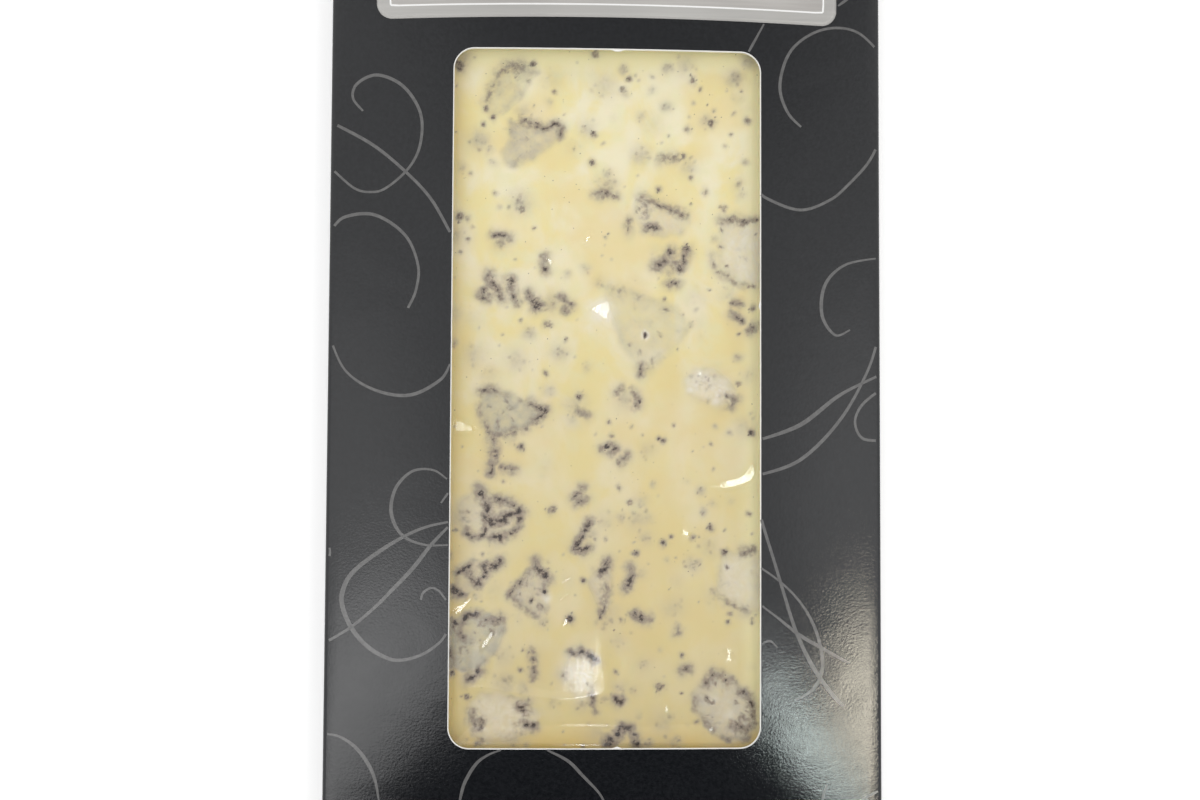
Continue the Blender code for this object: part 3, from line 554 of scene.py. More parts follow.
def grained_material(name, grain, dark, light, roughness, bump=None, **plain):
    """Two tones mixed by one noise, which can also raise the surface a little."""
    nodes = material(name)
    cover = nodes.noise(*grain)
    normal = nodes.bump(cover, *bump) if bump else None
    return nodes.finish(nodes.mix(cover, dark, light), roughness, normal, **plain)


def raw_card_material():
    """Cut edges of the card: white board with faint fibres."""
    fibres, bump = (1600, 3, 0.6, (1.0, 1.0, 4.0)), (0.2, 0.00005)
    return grained_material("cut_card", fibres, (0.82, 0.8, 0.76), (0.97, 0.96, 0.93), 0.8, bump)


def inside_card_material():
    """Uncoated inner face of the board."""
    tones, bump = ((0.80, 0.77, 0.70), (0.88, 0.85, 0.79)), (0.25, 0.0001)
    return grained_material("card_inside", (700, 5, 0.65), *tones, 0.85, bump)


def print_material():
    """Grey ink of the flourishes, slightly uneven."""
    nodes = material("flourish_ink")
    cover = nodes.ramp(nodes.noise(900, 3, 0.6), 0.3, 0.7)
    tone = nodes.mix(cover, (0.110, 0.108, 0.108), (0.145, 0.143, 0.142))
    return nodes.finish(tone, 0.11, laminate_bumps(nodes), Specular_IOR_Level=0.5)


def label_material(name, dark, light, roughness):
    """Silver label stock, brushed along its length, lighter towards one side."""
    nodes = material(name)
    brushed = nodes.noise(420, 4, 0.65, (0.03, 1.6, 1.0))
    drift = nodes.noise(16, 2, 0.5, (1.0, 0.5, 1.0))
    blend = nodes.math("ADD", nodes.times(brushed, 0.35), nodes.times(drift, 0.65))
    tone = nodes.mix(nodes.ramp(blend, 0.34, 0.66), dark, light)
    normal = nodes.bump(brushed, 0.03, 0.00005)
    return nodes.finish(tone, roughness, normal, Metallic=0.35, Specular_IOR_Level=0.5)


def line_material():
    return grained_material("label_line", (800,), (0.82, 0.82, 0.81), (0.95, 0.95, 0.94), 0.4)


def film_material():
    """Clear film: lets through what is behind it and takes a sharp gloss."""
    nodes = material("clear_film")
    clear = nodes.add("BsdfTransparent", {"Color": (0.985, 0.98, 0.965)}).outputs[0]
    haze = nodes.ramp(nodes.noise(260, 4, 0.6, (1.0, 0.35, 1.0)), 0.35, 0.75, 0.06, 0.13)
    ripple = nodes.bump(nodes.noise(420, 3, 0.5, (1.0, 0.3, 1.0)), 0.1, 0.0002)
    shine = nodes.add("BsdfGlossy", {"Roughness": haze, "Normal": ripple}).outputs[0]
    back = nodes.add("NewGeometry").outputs["Backfacing"]
    index = nodes.math("SUBTRACT", FILM_INDEX, nodes.times(back, FILM_INDEX_DROP))
    mirrored = nodes.add("Fresnel", {"IOR": index}).outputs[0]
    share = nodes.times(mirrored, FILM_GLOSS, clamp=True)
    mixed = nodes.add("MixShader", {0: share, 1: clear, 2: shine}).outputs[0]
    nodes.feed(nodes.nodes["Material Output"].inputs["Surface"], mixed)
    nodes.nodes.remove(nodes.nodes["Principled BSDF"])
    return nodes.owner


def chocolate_material():
    """White chocolate showing cookie through it, painted by the mesh's marks, painted light and shade.
    """
    nodes = material("white_chocolate")
    grey, dark, pale = nodes.bands("marks")
    # The tint's bands: hue, painted golden shade at two window edges, painted light at the other two.
    hue, edge_shade, lift = nodes.bands("tint")
    along = nodes.add("SeparateXYZ", {0: nodes.place}).outputs["Y"]
    streaks = nodes.ramp(nodes.noise(105, 4, 0.55, (1.0, 0.75, 1.0), 0.5), 0.38, 0.62)
    tone = nodes.mix(streaks, (0.91, 0.795, 0.39), (0.945, 0.88, 0.68))
    # Painted light, stronger towards the slab's top end.
    painted_top_light = nodes.ramp(along, -0.02, 0.06, 0, 0.2)
    veil = nodes.mix(hue, (0.49, 0.47, 0.35), (0.48, 0.415, 0.37))
    mottle = nodes.noise(520, 4, 0.65)
    depth = nodes.times(dark, nodes.ramp(nodes.noise(1100, 3, 0.6), 0.3, 0.7, 0.6, 1.38))
    layers = (
        (nodes.ramp(nodes.noise(210, 4, 0.6), 0.46, 0.68, 0, 0.6), (0.87, 0.84, 0.56)),
        (nodes.ramp(nodes.noise(62), 0.48, 0.68, 0, 0.75), (0.87, 0.71, 0.33)),
        # Painted shade, darker towards the slab's lower end.
        (nodes.ramp(along, 0.06, -0.09, 0, 0.8), (0.66, 0.545, 0.27)),
        # Painted light towards the top end and along the window's upper and right edges.
        (nodes.math("MAXIMUM", painted_top_light, lift), (1.0, 0.93, 0.56)),
        # Painted golden shade along the window's left and lower edges.
        (nodes.times(edge_shade, 0.75), (0.80, 0.60, 0.20)),
        (nodes.times(grey, nodes.ramp(mottle, 0.2, 0.8, 0.7, 1.3), clamp=True), veil),
        (nodes.times(pale, nodes.ramp(mottle, 0.3, 0.7, 0.7, 1.1), clamp=True), (0.90, 0.86, 0.79)),
        (nodes.ramp(depth, 0, 0.45, 0, 0.85), (0.30, 0.245, 0.20)),
        (nodes.ramp(depth, 0.4, 0.82), (0.090, 0.064, 0.052)),
        (nodes.ramp(depth, 0.8, 1.15), (0.028, 0.019, 0.017)),
    )
    for cover, colour in layers:
        tone = nodes.mix(cover, tone, colour)
    rough = nodes.ramp(nodes.noise(300), 0.3, 0.7, 0.34, 0.46)
    normal = nodes.bump(depth, 0.25, 0.0002, nodes.bump(nodes.noise(700, 4, 0.6), 0.16, 0.0002))
    under = {"Subsurface_Weight": 0.1, "Subsurface_Scale": 0.0008}
    return nodes.finish(tone, rough, normal, Specular_IOR_Level=0.4, **under)


def crumb_material():
    """Loose cookie: dark cocoa, some of it filmed with white chocolate."""
    nodes = material("cookie_crumb")
    veiled = nodes.add("Attribute", attribute_name="veil").outputs["Fac"]
    grain = nodes.noise(2600, 3, 0.6)
    bare = nodes.mix(grain, (0.018, 0.011, 0.010), (0.075, 0.048, 0.040))
    filmed = nodes.mix(grain, (0.22, 0.165, 0.14), (0.40, 0.33, 0.26))
    return nodes.finish(nodes.mix(veiled, bare, filmed), 0.6, nodes.bump(grain, 0.4, 0.0002))


def floor_material():
    tones = (0.96, 0.96, 0.96), (0.98, 0.98, 0.98)
    glow = {"Emission_Color": (1.0, 1.0, 1.0), "Emission_Strength": 0.32}
    return grained_material("pale_floor", (6, 2), *tones, 0.9, Specular_IOR_Level=0.1, **glow)


def put(name, data, materials=()):
    """New object of the scene."""
    made = bpy.data.objects.new(name, data)
    bpy.context.scene.collection.objects.link(made)
    for finish in materials:
        data.materials.append(finish)
    return made


def shade(mesh, smooth_angle=35):
    mesh.shade_smooth()
    mesh.set_sharp_from_angle(angle=math.radians(smooth_angle))


def add_object(name, shape, materials, smooth_angle=35):
    """Turns a bmesh into an object of the scene."""
    bmesh.ops.recalc_face_normals(shape, faces=shape.faces[:])
    mesh = bpy.data.meshes.new(name)
    shape.to_mesh(mesh)
    shape.free()
    shade(mesh, smooth_angle)
    return put(name, mesh, materials)


def dress(made, node=None):
    """Hides the node a piece stands for, if any, and puts the piece on the root body it rides on."""
    if node:
        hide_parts(node)
    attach(made, "root")


def thicken(made, thickness):
    """Gives a sheet its thickness, inwards from its outer face."""
    shell = made.modifiers.new("thickness", "SOLIDIFY")
    shell.thickness = thickness
    shell.offset = -1
    return shell


def join_rings(shape, first, second):
    """Closed band of faces between two rings of points."""
    for i in range(len(first)):
        j = (i + 1) % len(first)
        shape.faces.new((first[i], first[j], second[j], second[i]))


def arc(centre_a, centre_b, radius, quarter, count=CREASE_STEPS):
    """Quarter of a circle as points, from this many quarter turns on."""
    turns = [math.pi / 2 * (quarter + t) for t in steps(count)]
    return [(centre_a + radius * math.cos(turn), centre_b + radius * math.sin(turn)) for turn in turns]


def carton_outline():
    """The closed outline of the carton across its length, and how far each point runs along it."""
    low = 2 * (CARD + GAP)
    high = PACK_DEPTH - CREASE_RADIUS - SIDE_MARGIN
    side_end = HALF_LENGTH - CARD - GAP - DUST_CREASE_RADIUS
    right = arc(PANEL_HALF_WIDTH, CREASE_RADIUS, CREASE_RADIUS, -1)
    right += [(HALF_WIDTH, low), (HALF_WIDTH, high)]
    right += arc(PANEL_HALF_WIDTH, PACK_DEPTH - CREASE_RADIUS, CREASE_RADIUS, 0)
    ends = [HALF_LENGTH - BACK_SETBACK] + [side_end] * (len(right) - 2) + [PANEL_HALF_LENGTH]
    front = [PANEL_HALF_WIDTH * (1 - 2 * t) for t in steps(PANEL_COLUMNS)][1:-1]
    outline = right + [(x, None) for x in front] + [(-x, z) for x, z in reversed(right)]
    return outline, ends + [PANEL_HALF_LENGTH] * len(front) + ends[::-1]


def carton_tube(shape, outline, ends):
    """Front, sides and back as one tube of faces. Gives back its rows of points."""
    lines = []
    for t in steps(PANEL_ROWS):
        line = []
        for (x, z), end in zip(outline, ends):
            y = (2 * t - 1) * end
            line.append(shape.verts.new((x, y, panel_height(x, y) if z is None else z)))
        lines.append(line)
    for low, high in zip(lines, lines[1:]):
        join_rings(shape, low, high)
    return lines


def extend(shape, edge, rows):
    """Adds faces from a line of points that is there already to new rows of points."""
    last = edge
    for row in rows:
        line = [shape.verts.new(point) for point in row]
        for i in range(len(line) - 1):
            shape.faces.new((last[i], last[i + 1], line[i + 1], line[i]))
        last = line


def add_closure(shape, edge, end):
    """Closing flap on the front panel, folded down over the end and tucked in at the back."""
    tuck_z = CARD + GAP
    profile = arc(PANEL_HALF_LENGTH, PACK_DEPTH - CREASE_RADIUS, CREASE_RADIUS, 0)[-2::-1]
    profile += arc(PANEL_HALF_LENGTH, tuck_z + CREASE_RADIUS, CREASE_RADIUS, -1)[::-1]
    profile.append((PANEL_HALF_LENGTH - TUCK_LENGTH / 3, tuck_z))
    across = [vert.co.x for vert in edge]
    rows = [[(x, end * y, z) for x in across] for y, z in profile]
    tip = end * (PANEL_HALF_LENGTH - TUCK_LENGTH)
    rows.append([(x * TUCK_TAPER, tip, tuck_z) for x in across])
    extend(shape, edge, rows)


def add_dust_flap(shape, edge, side, end):
    """Small flap on a side panel, folded in behind the closing flap."""
    plane_y = HALF_LENGTH - CARD - GAP
    radius = DUST_CREASE_RADIUS
    fold = arc(HALF_WIDTH - radius, plane_y - radius, radius, 0)[1:]
    rows = [[(side * x, end * y, vert.co.z) for vert in edge] for x, y in fold]
    middle = PACK_DEPTH / 2
    tips = [vert.co.z + math.copysign(DUST_FLAP_TAPER, middle - vert.co.z) for vert in edge]
    rows.append([(side * (HALF_WIDTH - DUST_FLAP_LENGTH), end * plane_y, z) for z in tips])
    extend(shape, edge, rows)


def window_outline(grow=0.0):
    """Corners of the rounded window, widened by this much all round."""
    points = []
    radius = WINDOW_RADIUS + grow
    for quarter in range(4):
        x = (WINDOW_WIDTH / 2 - WINDOW_RADIUS) * (1 if quarter in (0, 3) else -1)
        y = WINDOW_Y + (WINDOW_LENGTH / 2 - WINDOW_RADIUS) * (1 if quarter in (0, 1) else -1)
        points += arc(x, y, radius, quarter, WINDOW_CORNER_STEPS)
    return points


def window_cutter(finish):
    shape = bmesh.new()
    levels = PACK_DEPTH - CUTTER_REACH, PACK_DEPTH + CROWN + CUTTER_REACH
    base, top = [[shape.verts.new((x, y, z)) for x, y in window_outline()] for z in levels]
    shape.faces.new(base[::-1])
    shape.faces.new(top)
    join_rings(shape, base, top)
    return add_object("window_cutter", shape, [finish])


def make_carton():
    """The folded carton, printed black outside, with raw white cut edges."""
    shape = bmesh.new()
    outline, ends = carton_outline()
    lines = carton_tube(shape, outline, ends)
    crease_points = CREASE_STEPS + 1
    first_front = 2 * crease_points + 1
    last_front = len(outline) - first_front
    for end, line in ((-1, lines[0]), (1, lines[-1])):
        add_closure(shape, line[first_front:last_front], end)
        add_dust_flap(shape, line[crease_points : crease_points + 2], 1, end)
        add_dust_flap(shape, line[-crease_points - 2 : -crease_points], -1, end)
    raw = raw_card_material()
    carton = add_object("carton_shell", shape, [card_material(), raw, inside_card_material()])
    shell = thicken(carton, CARD)
    shell.use_even_offset = True
    shell.material_offset_rim = 1
    shell.material_offset = 2
    cutter = window_cutter(raw)
    window = carton.modifiers.new("window", "BOOLEAN")
    window.operation = "DIFFERENCE"
    window.material_mode = "TRANSFER"
    window.object = cutter
    seen = carton.evaluated_get(bpy.context.evaluated_depsgraph_get())
    mesh = bpy.data.meshes.new_from_object(seen)
    carton.modifiers.clear()
    carton.data = mesh
    bpy.data.objects.remove(cutter, do_unlink=True)
    shade(mesh)
    dress(carton, "carton")


def make_cut_edge():
    """Chamfer of bare board round the window, with the small nicks the die leaves."""
    shape = bmesh.new()
    rings = []
    nicks = [on_panel(px, py) for px, py in CUT_NICKS]
    for grow, lift in CUT_RINGS:
        outline = window_outline(grow)
        ring = []
        for (ax, ay), (bx, by) in zip(outline, outline[1:] + outline[:1]):
            count = max(1, round(math.dist((ax, ay), (bx, by)) / MM))
            for t in steps(count)[:-1]:
                x, y = ax + (bx - ax) * t, ay + (by - ay) * t
                place = Vector((x / CUT_GRAIN, y / CUT_GRAIN, grow))
                ragged = CUT_RAGGED * noise.noise(place)
                if grow <= 0 and min(math.dist((x, y), nick) for nick in nicks) < NICK_REACH:
                    ragged -= NICK_DEPTH
                inward = Vector((x, y - WINDOW_Y)).normalized() * ragged
                x, y = x + inward.x, y + inward.y
                ring.append(shape.verts.new((x, y, panel_height(x, y) + lift)))
        rings.append(ring)
    for outer, inner in zip(rings, rings[1:]):
        join_rings(shape, outer, inner)
    made = add_object("cut_edge", shape, [raw_card_material()])
    thicken(made, CUT_THICKNESS)
    dress(made)


def ribbon(shape, run):
    """Thin strip of ink along points of the front panel, each with the strip's width there."""
    line = [place for place, _ in run]
    rails = []
    for i, ((x, y), width) in enumerate(run):
        before, after = line[max(i - 1, 0)], line[min(i + 1, len(line) - 1)]
        dx, dy = after[0] - before[0], after[1] - before[1]
        half = width / 2 / (math.hypot(dx, dy) or 1.0)
        section = []
        for side, level in ((1, INK_TOP), (-1, INK_TOP), (-1, INK_BOTTOM), (1, INK_BOTTOM)):
            px, py = x - side * dy * half, y + side * dx * half
            section.append(shape.verts.new((px, py, panel_height(px, py) + level)))
        rails.append(section)
    for first, second in zip(rails, rails[1:]):
        join_rings(shape, first, second)
    shape.faces.new(rails[0][::-1])
    shape.faces.new(rails[-1])


def on_card(x, y):
    """Whether a point lies on the front panel, clear of its creases, the window and the label."""
    label_high = HALF_LENGTH - LABEL_TOP_MARGIN
    label_low = label_high - LABEL_HEIGHT + INK_UNDER_LABEL
    over_x = abs(x) - PANEL_HALF_WIDTH + INK_TO_CREASE
    over_y = abs(y) - PANEL_HALF_LENGTH + INK_TO_CREASE
    in_width = abs(x) < WINDOW_WIDTH / 2 + INK_TO_WINDOW
    in_window = in_width and abs(y - WINDOW_Y) < WINDOW_LENGTH / 2 + INK_TO_WINDOW
    in_label = abs(x) < LABEL_WIDTH / 2 and label_low < y < label_high
    return max(over_x, over_y) <= 0 and not in_window and not in_label


def make_flourishes():
    """Printed curls, as ribbons that swell in their middle and taper to their ends."""
    shape = bmesh.new()
    for number, (flat, width) in enumerate(FLOURISHES):
        line = smooth_line([on_panel(px, py) for px, py in pairs(flat)], 14)
        run = []
        for place, t in zip(line, steps(len(line) - 1)):
            swell = 0.48 + 0.26 * math.sin(math.pi * t) + 0.1 * math.sin(7 * t + number)
            if on_card(*place):
                run.append((place, width * PIXEL * max(0.3, swell)))
            if len(run) > 1 and (t == 1 or not on_card(*place)):
                ribbon(shape, run)
            if not on_card(*place):
                run = []
    dress(add_object("flourishes", shape, [print_material()]))


def grid_axis(low, high, step):
    return np.linspace(low, high, max(2, round((high - low) / step) + 1))


def uneven_axis(low, high, fine_low, fine_high):
    """Fine steps between two places and coarse ones outside them."""
    before = grid_axis(low, fine_low, SLAB_COARSE_STEP)[:-1]
    after = grid_axis(fine_high, high, SLAB_COARSE_STEP)[1:]
    return np.concatenate([before, grid_axis(fine_low, fine_high, SLAB_STEP), after])


def round_corners(x, y, half_width, half_length, radius):
    """Moves a rectangular grid's points so that its corners are round."""
    over_x, over_y = np.abs(x) - half_width + radius, np.abs(y) - half_length + radius
    corner = (over_x > 0) & (over_y > 0)
    squeeze = np.maximum(over_x, over_y) / (np.hypot(over_x, over_y) + 1e-12)
    round_x = np.sign(x) * (half_width - radius + over_x * squeeze)
    round_y = np.sign(y) * (half_length - radius + over_y * squeeze)
    return np.where(corner, round_x, x), np.where(corner, round_y, y)


def distance_to_line(x, y, line):
    """Distance from each point of two arrays to a polyline, and how far along it is nearest."""
    best = np.full(x.shape, 1e9)
    where = np.zeros(x.shape)
    for i, ((ax, ay), (bx, by)) in enumerate(zip(line, line[1:])):
        dx, dy = bx - ax, by - ay
        t = np.clip(((x - ax) * dx + (y - ay) * dy) / (dx * dx + dy * dy + 1e-18), 0, 1)
        gap = np.hypot(x - ax - t * dx, y - ay - t * dy)
        nearer = gap < best
        best = np.where(nearer, gap, best)
        where = np.where(nearer, (i + t) / (len(line) - 1), where)
    return best, where


def facet_slope(cx, cy, lamp):
    """Slope of the film at a place where the camera sees the lamp mirrored."""
    place = Vector((cx, cy, panel_height(cx, cy)))
    half = (CAMERA_PLACE - place).normalized() + (Vector(lamp) - place).normalized()
    step = 0.1 * MM
    crown_x = (panel_height(cx + step, cy) - panel_height(cx - step, cy)) / (2 * step)
    crown_y = (panel_height(cx, cy + step) - panel_height(cx, cy - step)) / (2 * step)
    return -half.x / half.z - crown_x, -half.y / half.z - crown_y


def film_relief(x, y):
    """Ripples, long folds and small facets of the film, as heights."""
    relief = np.zeros(x.shape)
    for flat, width, height in FOLDS:
        gap, where = distance_to_line(x, y, smooth_line(film_outline(flat), 6))
        relief += height * MM * fade(gap, width * PIXEL) * np.sin(np.pi * where)
    edge_x = (WINDOW_WIDTH / 2 - np.abs(x)) / FILM_HELD
    edge_y = (WINDOW_LENGTH / 2 - np.abs(y - WINDOW_Y)) / FILM_HELD
    hold = np.clip(np.minimum(edge_x, edge_y), 0, 1)
    hold = hold * hold * (3 - 2 * hold)
    waves = 0.05 * np.sin(x / (5.3 * MM) + 0.6 * np.sin(y / (17 * MM)))
    waves += 0.03 * np.sin(x / (2.9 * MM) - y / (21 * MM) + 1.0)
    waves += 0.03 * np.sin(y / (9 * MM) + x / (12 * MM))
    relief = relief * np.clip(hold * 3, 0, 1) + (waves * MM - FILM_SAG) * hold
    for lamp, flat in FACETS:
        outline = film_outline(flat)
        cx, cy = middle_of(outline)
        slope_x, slope_y = facet_slope(cx, cy, LAMPS[lamp][0])
        gap, _ = distance_to_line(x, y, outline + outline[:1])
        share = fade(np.where(inside_outline(x, y, outline), 0, gap), FACET_BLEND)
        level = relief.ravel()[np.argmin(np.hypot(x - cx, y - cy))]
        relief += share * (level + (x - cx) * slope_x + (y - cy) * slope_y - relief)
    return relief


def grid_object(name, x, y, z, materials):
    """Object made of a rectangular grid of heights."""
    rows, columns = x.shape
    mesh = bpy.data.meshes.new(name)
    points = np.stack([x, y, z], axis=-1).reshape(-1, 3)
    index = np.arange(rows * columns).reshape(rows, columns)
    quads = np.stack([index[:-1, :-1], index[:-1, 1:], index[1:, 1:], index[1:, :-1]], axis=-1)
    mesh.from_pydata(points.tolist(), [], quads.reshape(-1, 4).tolist())
    mesh.shade_smooth()
    return put(name, mesh, materials)


def label_axis(half):
    """Lines of the label's grid from one edge to the other, closer at its rim and its border."""
    line = half - LABEL_RIM - LABEL_LINE
    rim_lines = np.linspace(half - LABEL_RIM, half, 4)
    return np.concatenate([-rim_lines[::-1], grid_axis(-line, line, LABEL_STEP), rim_lines])


def make_label():
    """Silver label with a light rim, a thin white line and a brushed field, all bare."""
    half_width, half_height = LABEL_WIDTH / 2, LABEL_HEIGHT / 2
    x, y = np.meshgrid(label_axis(half_width), label_axis(half_height))
    depth = np.minimum(half_width - np.abs(x), half_height - np.abs(y))
    depth = (depth[:-1, :-1] + depth[1:, 1:] + depth[:-1, 1:] + depth[1:, :-1]) / 4
    x, y = round_corners(x, y, half_width, half_height, LABEL_RADIUS)
    low = (half_height - y) / LABEL_HEIGHT
    y = y + HALF_LENGTH - LABEL_TOP_MARGIN - half_height
    y = y + LABEL_ARCH * (1 - (x / half_width) ** 2) * low
    finishes = [
        label_material("label_rim", (0.39, 0.38, 0.365), (0.51, 0.50, 0.48), 0.42),
        line_material(),
        label_material("label_field", (0.375, 0.355, 0.34), (0.545, 0.525, 0.50), 0.36),
    ]
    made = grid_object("label_sheet", x, y, panel_height(x, y) + LABEL_THICKNESS, finishes)
    kinds = np.where(depth > LABEL_RIM + 0.9 * LABEL_LINE, 2, np.where(depth > LABEL_RIM, 1, 0))
    made.data.polygons.foreach_set("material_index", kinds.ravel().astype(np.int32))
    thicken(made, LABEL_THICKNESS)
    dress(made, "label")


def make_film():
    half_width, half_length = WINDOW_WIDTH / 2 + FILM_MARGIN, WINDOW_LENGTH / 2 + FILM_MARGIN
    across = grid_axis(-half_width, half_width, FILM_STEP)
    along = grid_axis(WINDOW_Y - half_length, WINDOW_Y + half_length, FILM_STEP)
    x, y = np.meshgrid(across, along)
    z = panel_height(x, y) - FILM_DROP + film_relief(x, y)
    dress(grid_object("film_sheet", x, y, z, [film_material()]), "window_film")


def inside_outline(x, y, outline):
    inside = np.zeros(x.shape, bool)
    for (ax, ay), (bx, by) in zip(outline, outline[1:] + outline[:1]):
        crosses = (ay > y) != (by > y)
        inside ^= crosses & (x < (bx - ax) * (y - ay) / (by - ay + 1e-18) + ax)
    return inside


def fade(gap, width):
    """1 at no distance, falling smoothly to 0 about this far out."""
    return np.exp(-((gap / width) ** 2))


def cloud(x, y, size, seed):
    """Smooth random values from 0 to 1 in patches of about this size."""
    table = np.random.RandomState(seed).rand(256, 256)
    u, v = x / size + 700, y / size + 700
    i, j = np.floor(u).astype(int), np.floor(v).astype(int)
    u, v = u - i, v - j
    u, v = u * u * (3 - 2 * u), v * v * (3 - 2 * v)
    low = table[i % 256, j % 256] * (1 - u) + table[(i + 1) % 256, j % 256] * u
    high = table[i % 256, (j + 1) % 256] * (1 - u) + table[(i + 1) % 256, (j + 1) % 256] * u
    return low * (1 - v) + high * v


def warped(x, y):
    """Points moved about a little, so that what is drawn there has uneven edges."""
    shifts = []
    for seed in (1, 3):
        shift = cloud(x, y, 1.7 * MM, seed) + 0.35 * cloud(x, y, 0.7 * MM, seed + 1) - 0.67
        shifts.append(WARP * shift)
    return x + shifts[0], y + shifts[1]


def paint_chunks(x, y, marks):
    """Greys, whitens and tints the face over each cookie piece, most of all near its rim."""
    grey, dark, pale, hue = marks
    patchy, grain = cloud(x, y, 1.6 * MM, 5), cloud(x, y, 0.5 * MM, 6)
    for flat, greyness, paleness, rim, tint in CHUNKS:
        outline = slab_outline(flat)
        gap, _ = distance_to_line(x, y, outline + outline[:1])
        signed = np.where(inside_outline(x, y, outline), gap, -gap)
        cover = 1 / (1 + np.exp(-signed / (0.34 * MM)))
        core = np.clip(signed / (2.4 * MM), 0, 1)
        near = cover * greyness * (1.5 - 0.4 * core) * (0.72 + 0.56 * patchy)
        grey[:] = np.maximum(grey, near)
        spots = cover * np.clip(grain * patchy * 2.8 - 0.9, 0, 1) * (0.35 * rim + 0.3 * greyness)
        edge = fade(signed - 0.5 * MM, 0.85 * MM) * rim * np.clip(1.7 * patchy - 0.45, 0, 1)
        dark[:] = np.maximum(dark, np.maximum(spots, 0.85 * edge))
        pale[:] = np.maximum(pale, cover * core ** 0.6 * paleness * (0.6 + 0.8 * grain))
        hue[:] = hue + cover * (0.5 + 0.5 * tint - hue)


def darken(x, y, dark, cx, cy, reach, strength, ring=False):
    """Soft dark clot, or a ring with a lighter middle."""
    near = np.nonzero((np.abs(x - cx) < 3 * reach) & (np.abs(y - cy) < 3 * reach))
    gap = np.hypot(x[near] - cx, y[near] - cy)
    soft = fade(gap - 0.55 * reach, 0.5 * reach) if ring else fade(gap, reach)
    dark[near] = np.maximum(dark[near], strength * soft)


def paint_strokes(x, y, marks):
    """Smudged lines of cookie: a grey haze, an uneven core and a few darker clots."""
    grey, dark, _, _ = marks
    draw = random.Random(CLOT_SEED)
    clots, fine = cloud(x, y, 0.9 * MM, 8), cloud(x, y, 0.45 * MM, 10)
    for flat, width, strength in STROKES:
        outline = slab_outline(flat)
        gap, _ = distance_to_line(x, y, outline)
        half = width * PIXEL * 0.5
        haze = 0.6 * fade(gap, half * 1.9 + 0.45 * MM) * (0.4 + 0.85 * clots)
        core = 0.85 * fade(gap, half * (0.8 + 0.7 * clots)) * (0.15 + 0.9 * clots + 0.4 * fine)
        grey[:] = np.maximum(grey, 0.8 * strength * fade(gap, half * 2.2 + 0.7 * MM))
        dark[:] = np.maximum(dark, strength * np.maximum(haze, core))
        for cx, cy in smooth_line(outline, 4):
            if draw.random() < CLOT_SHARE:
                cx, cy = cx + draw.gauss(0, 0.35) * half, cy + draw.gauss(0, 0.35) * half
                reach = half * draw.uniform(0.5, 1.2) + 0.14 * MM
                depth = strength * draw.uniform(0.55, 1.25)
                darken(x, y, dark, cx, cy, reach, depth, draw.random() < RING_SHARE)


def paint_dots(x, y, marks):
    """Specks and smudges, those given and strays. The faint ones mostly grey the face."""
    grey, dark, _, _ = marks
    draw = random.Random(CLOT_SEED + 1)
    dots = [(*on_slab(px, py), radius * PIXEL, strength) for px, py, radius, strength in DOTS]
    for _ in range(STRAY_COUNT):
        for least, most, weakest, strongest in STRAYS:
            cx = draw.uniform(-0.5, 0.5) * WINDOW_WIDTH
            cy = WINDOW_Y + draw.uniform(-0.5, 0.5) * WINDOW_LENGTH
            dots.append((cx, cy, draw.uniform(least, most) * MM, draw.uniform(weakest, strongest)))
    for cx, cy, reach, strength in dots:
        if strength < FAINT:
            darken(x, y, grey, cx, cy, reach * 1.35, strength * 1.7)
            darken(x, y, dark, cx, cy, reach, strength * 0.45)
        else:
            ring = reach > 0.7 * MM and strength > FAINT
            darken(x, y, grey, cx, cy, reach * 1.35, strength * 0.7)
            darken(x, y, dark, cx, cy, reach * 0.85, strength * 0.88, ring)
            darken(x, y, dark, cx, cy, reach * 1.5 + 0.15 * MM, 0.3 * min(strength, 1))
        if reach > 0.6 * MM:
            for _ in range(4):
                dx, dy = draw.gauss(0, 0.6) * reach, draw.gauss(0, 0.6) * reach
                darken(x, y, dark, cx + dx, cy + dy, reach * 0.3, strength * 0.9)


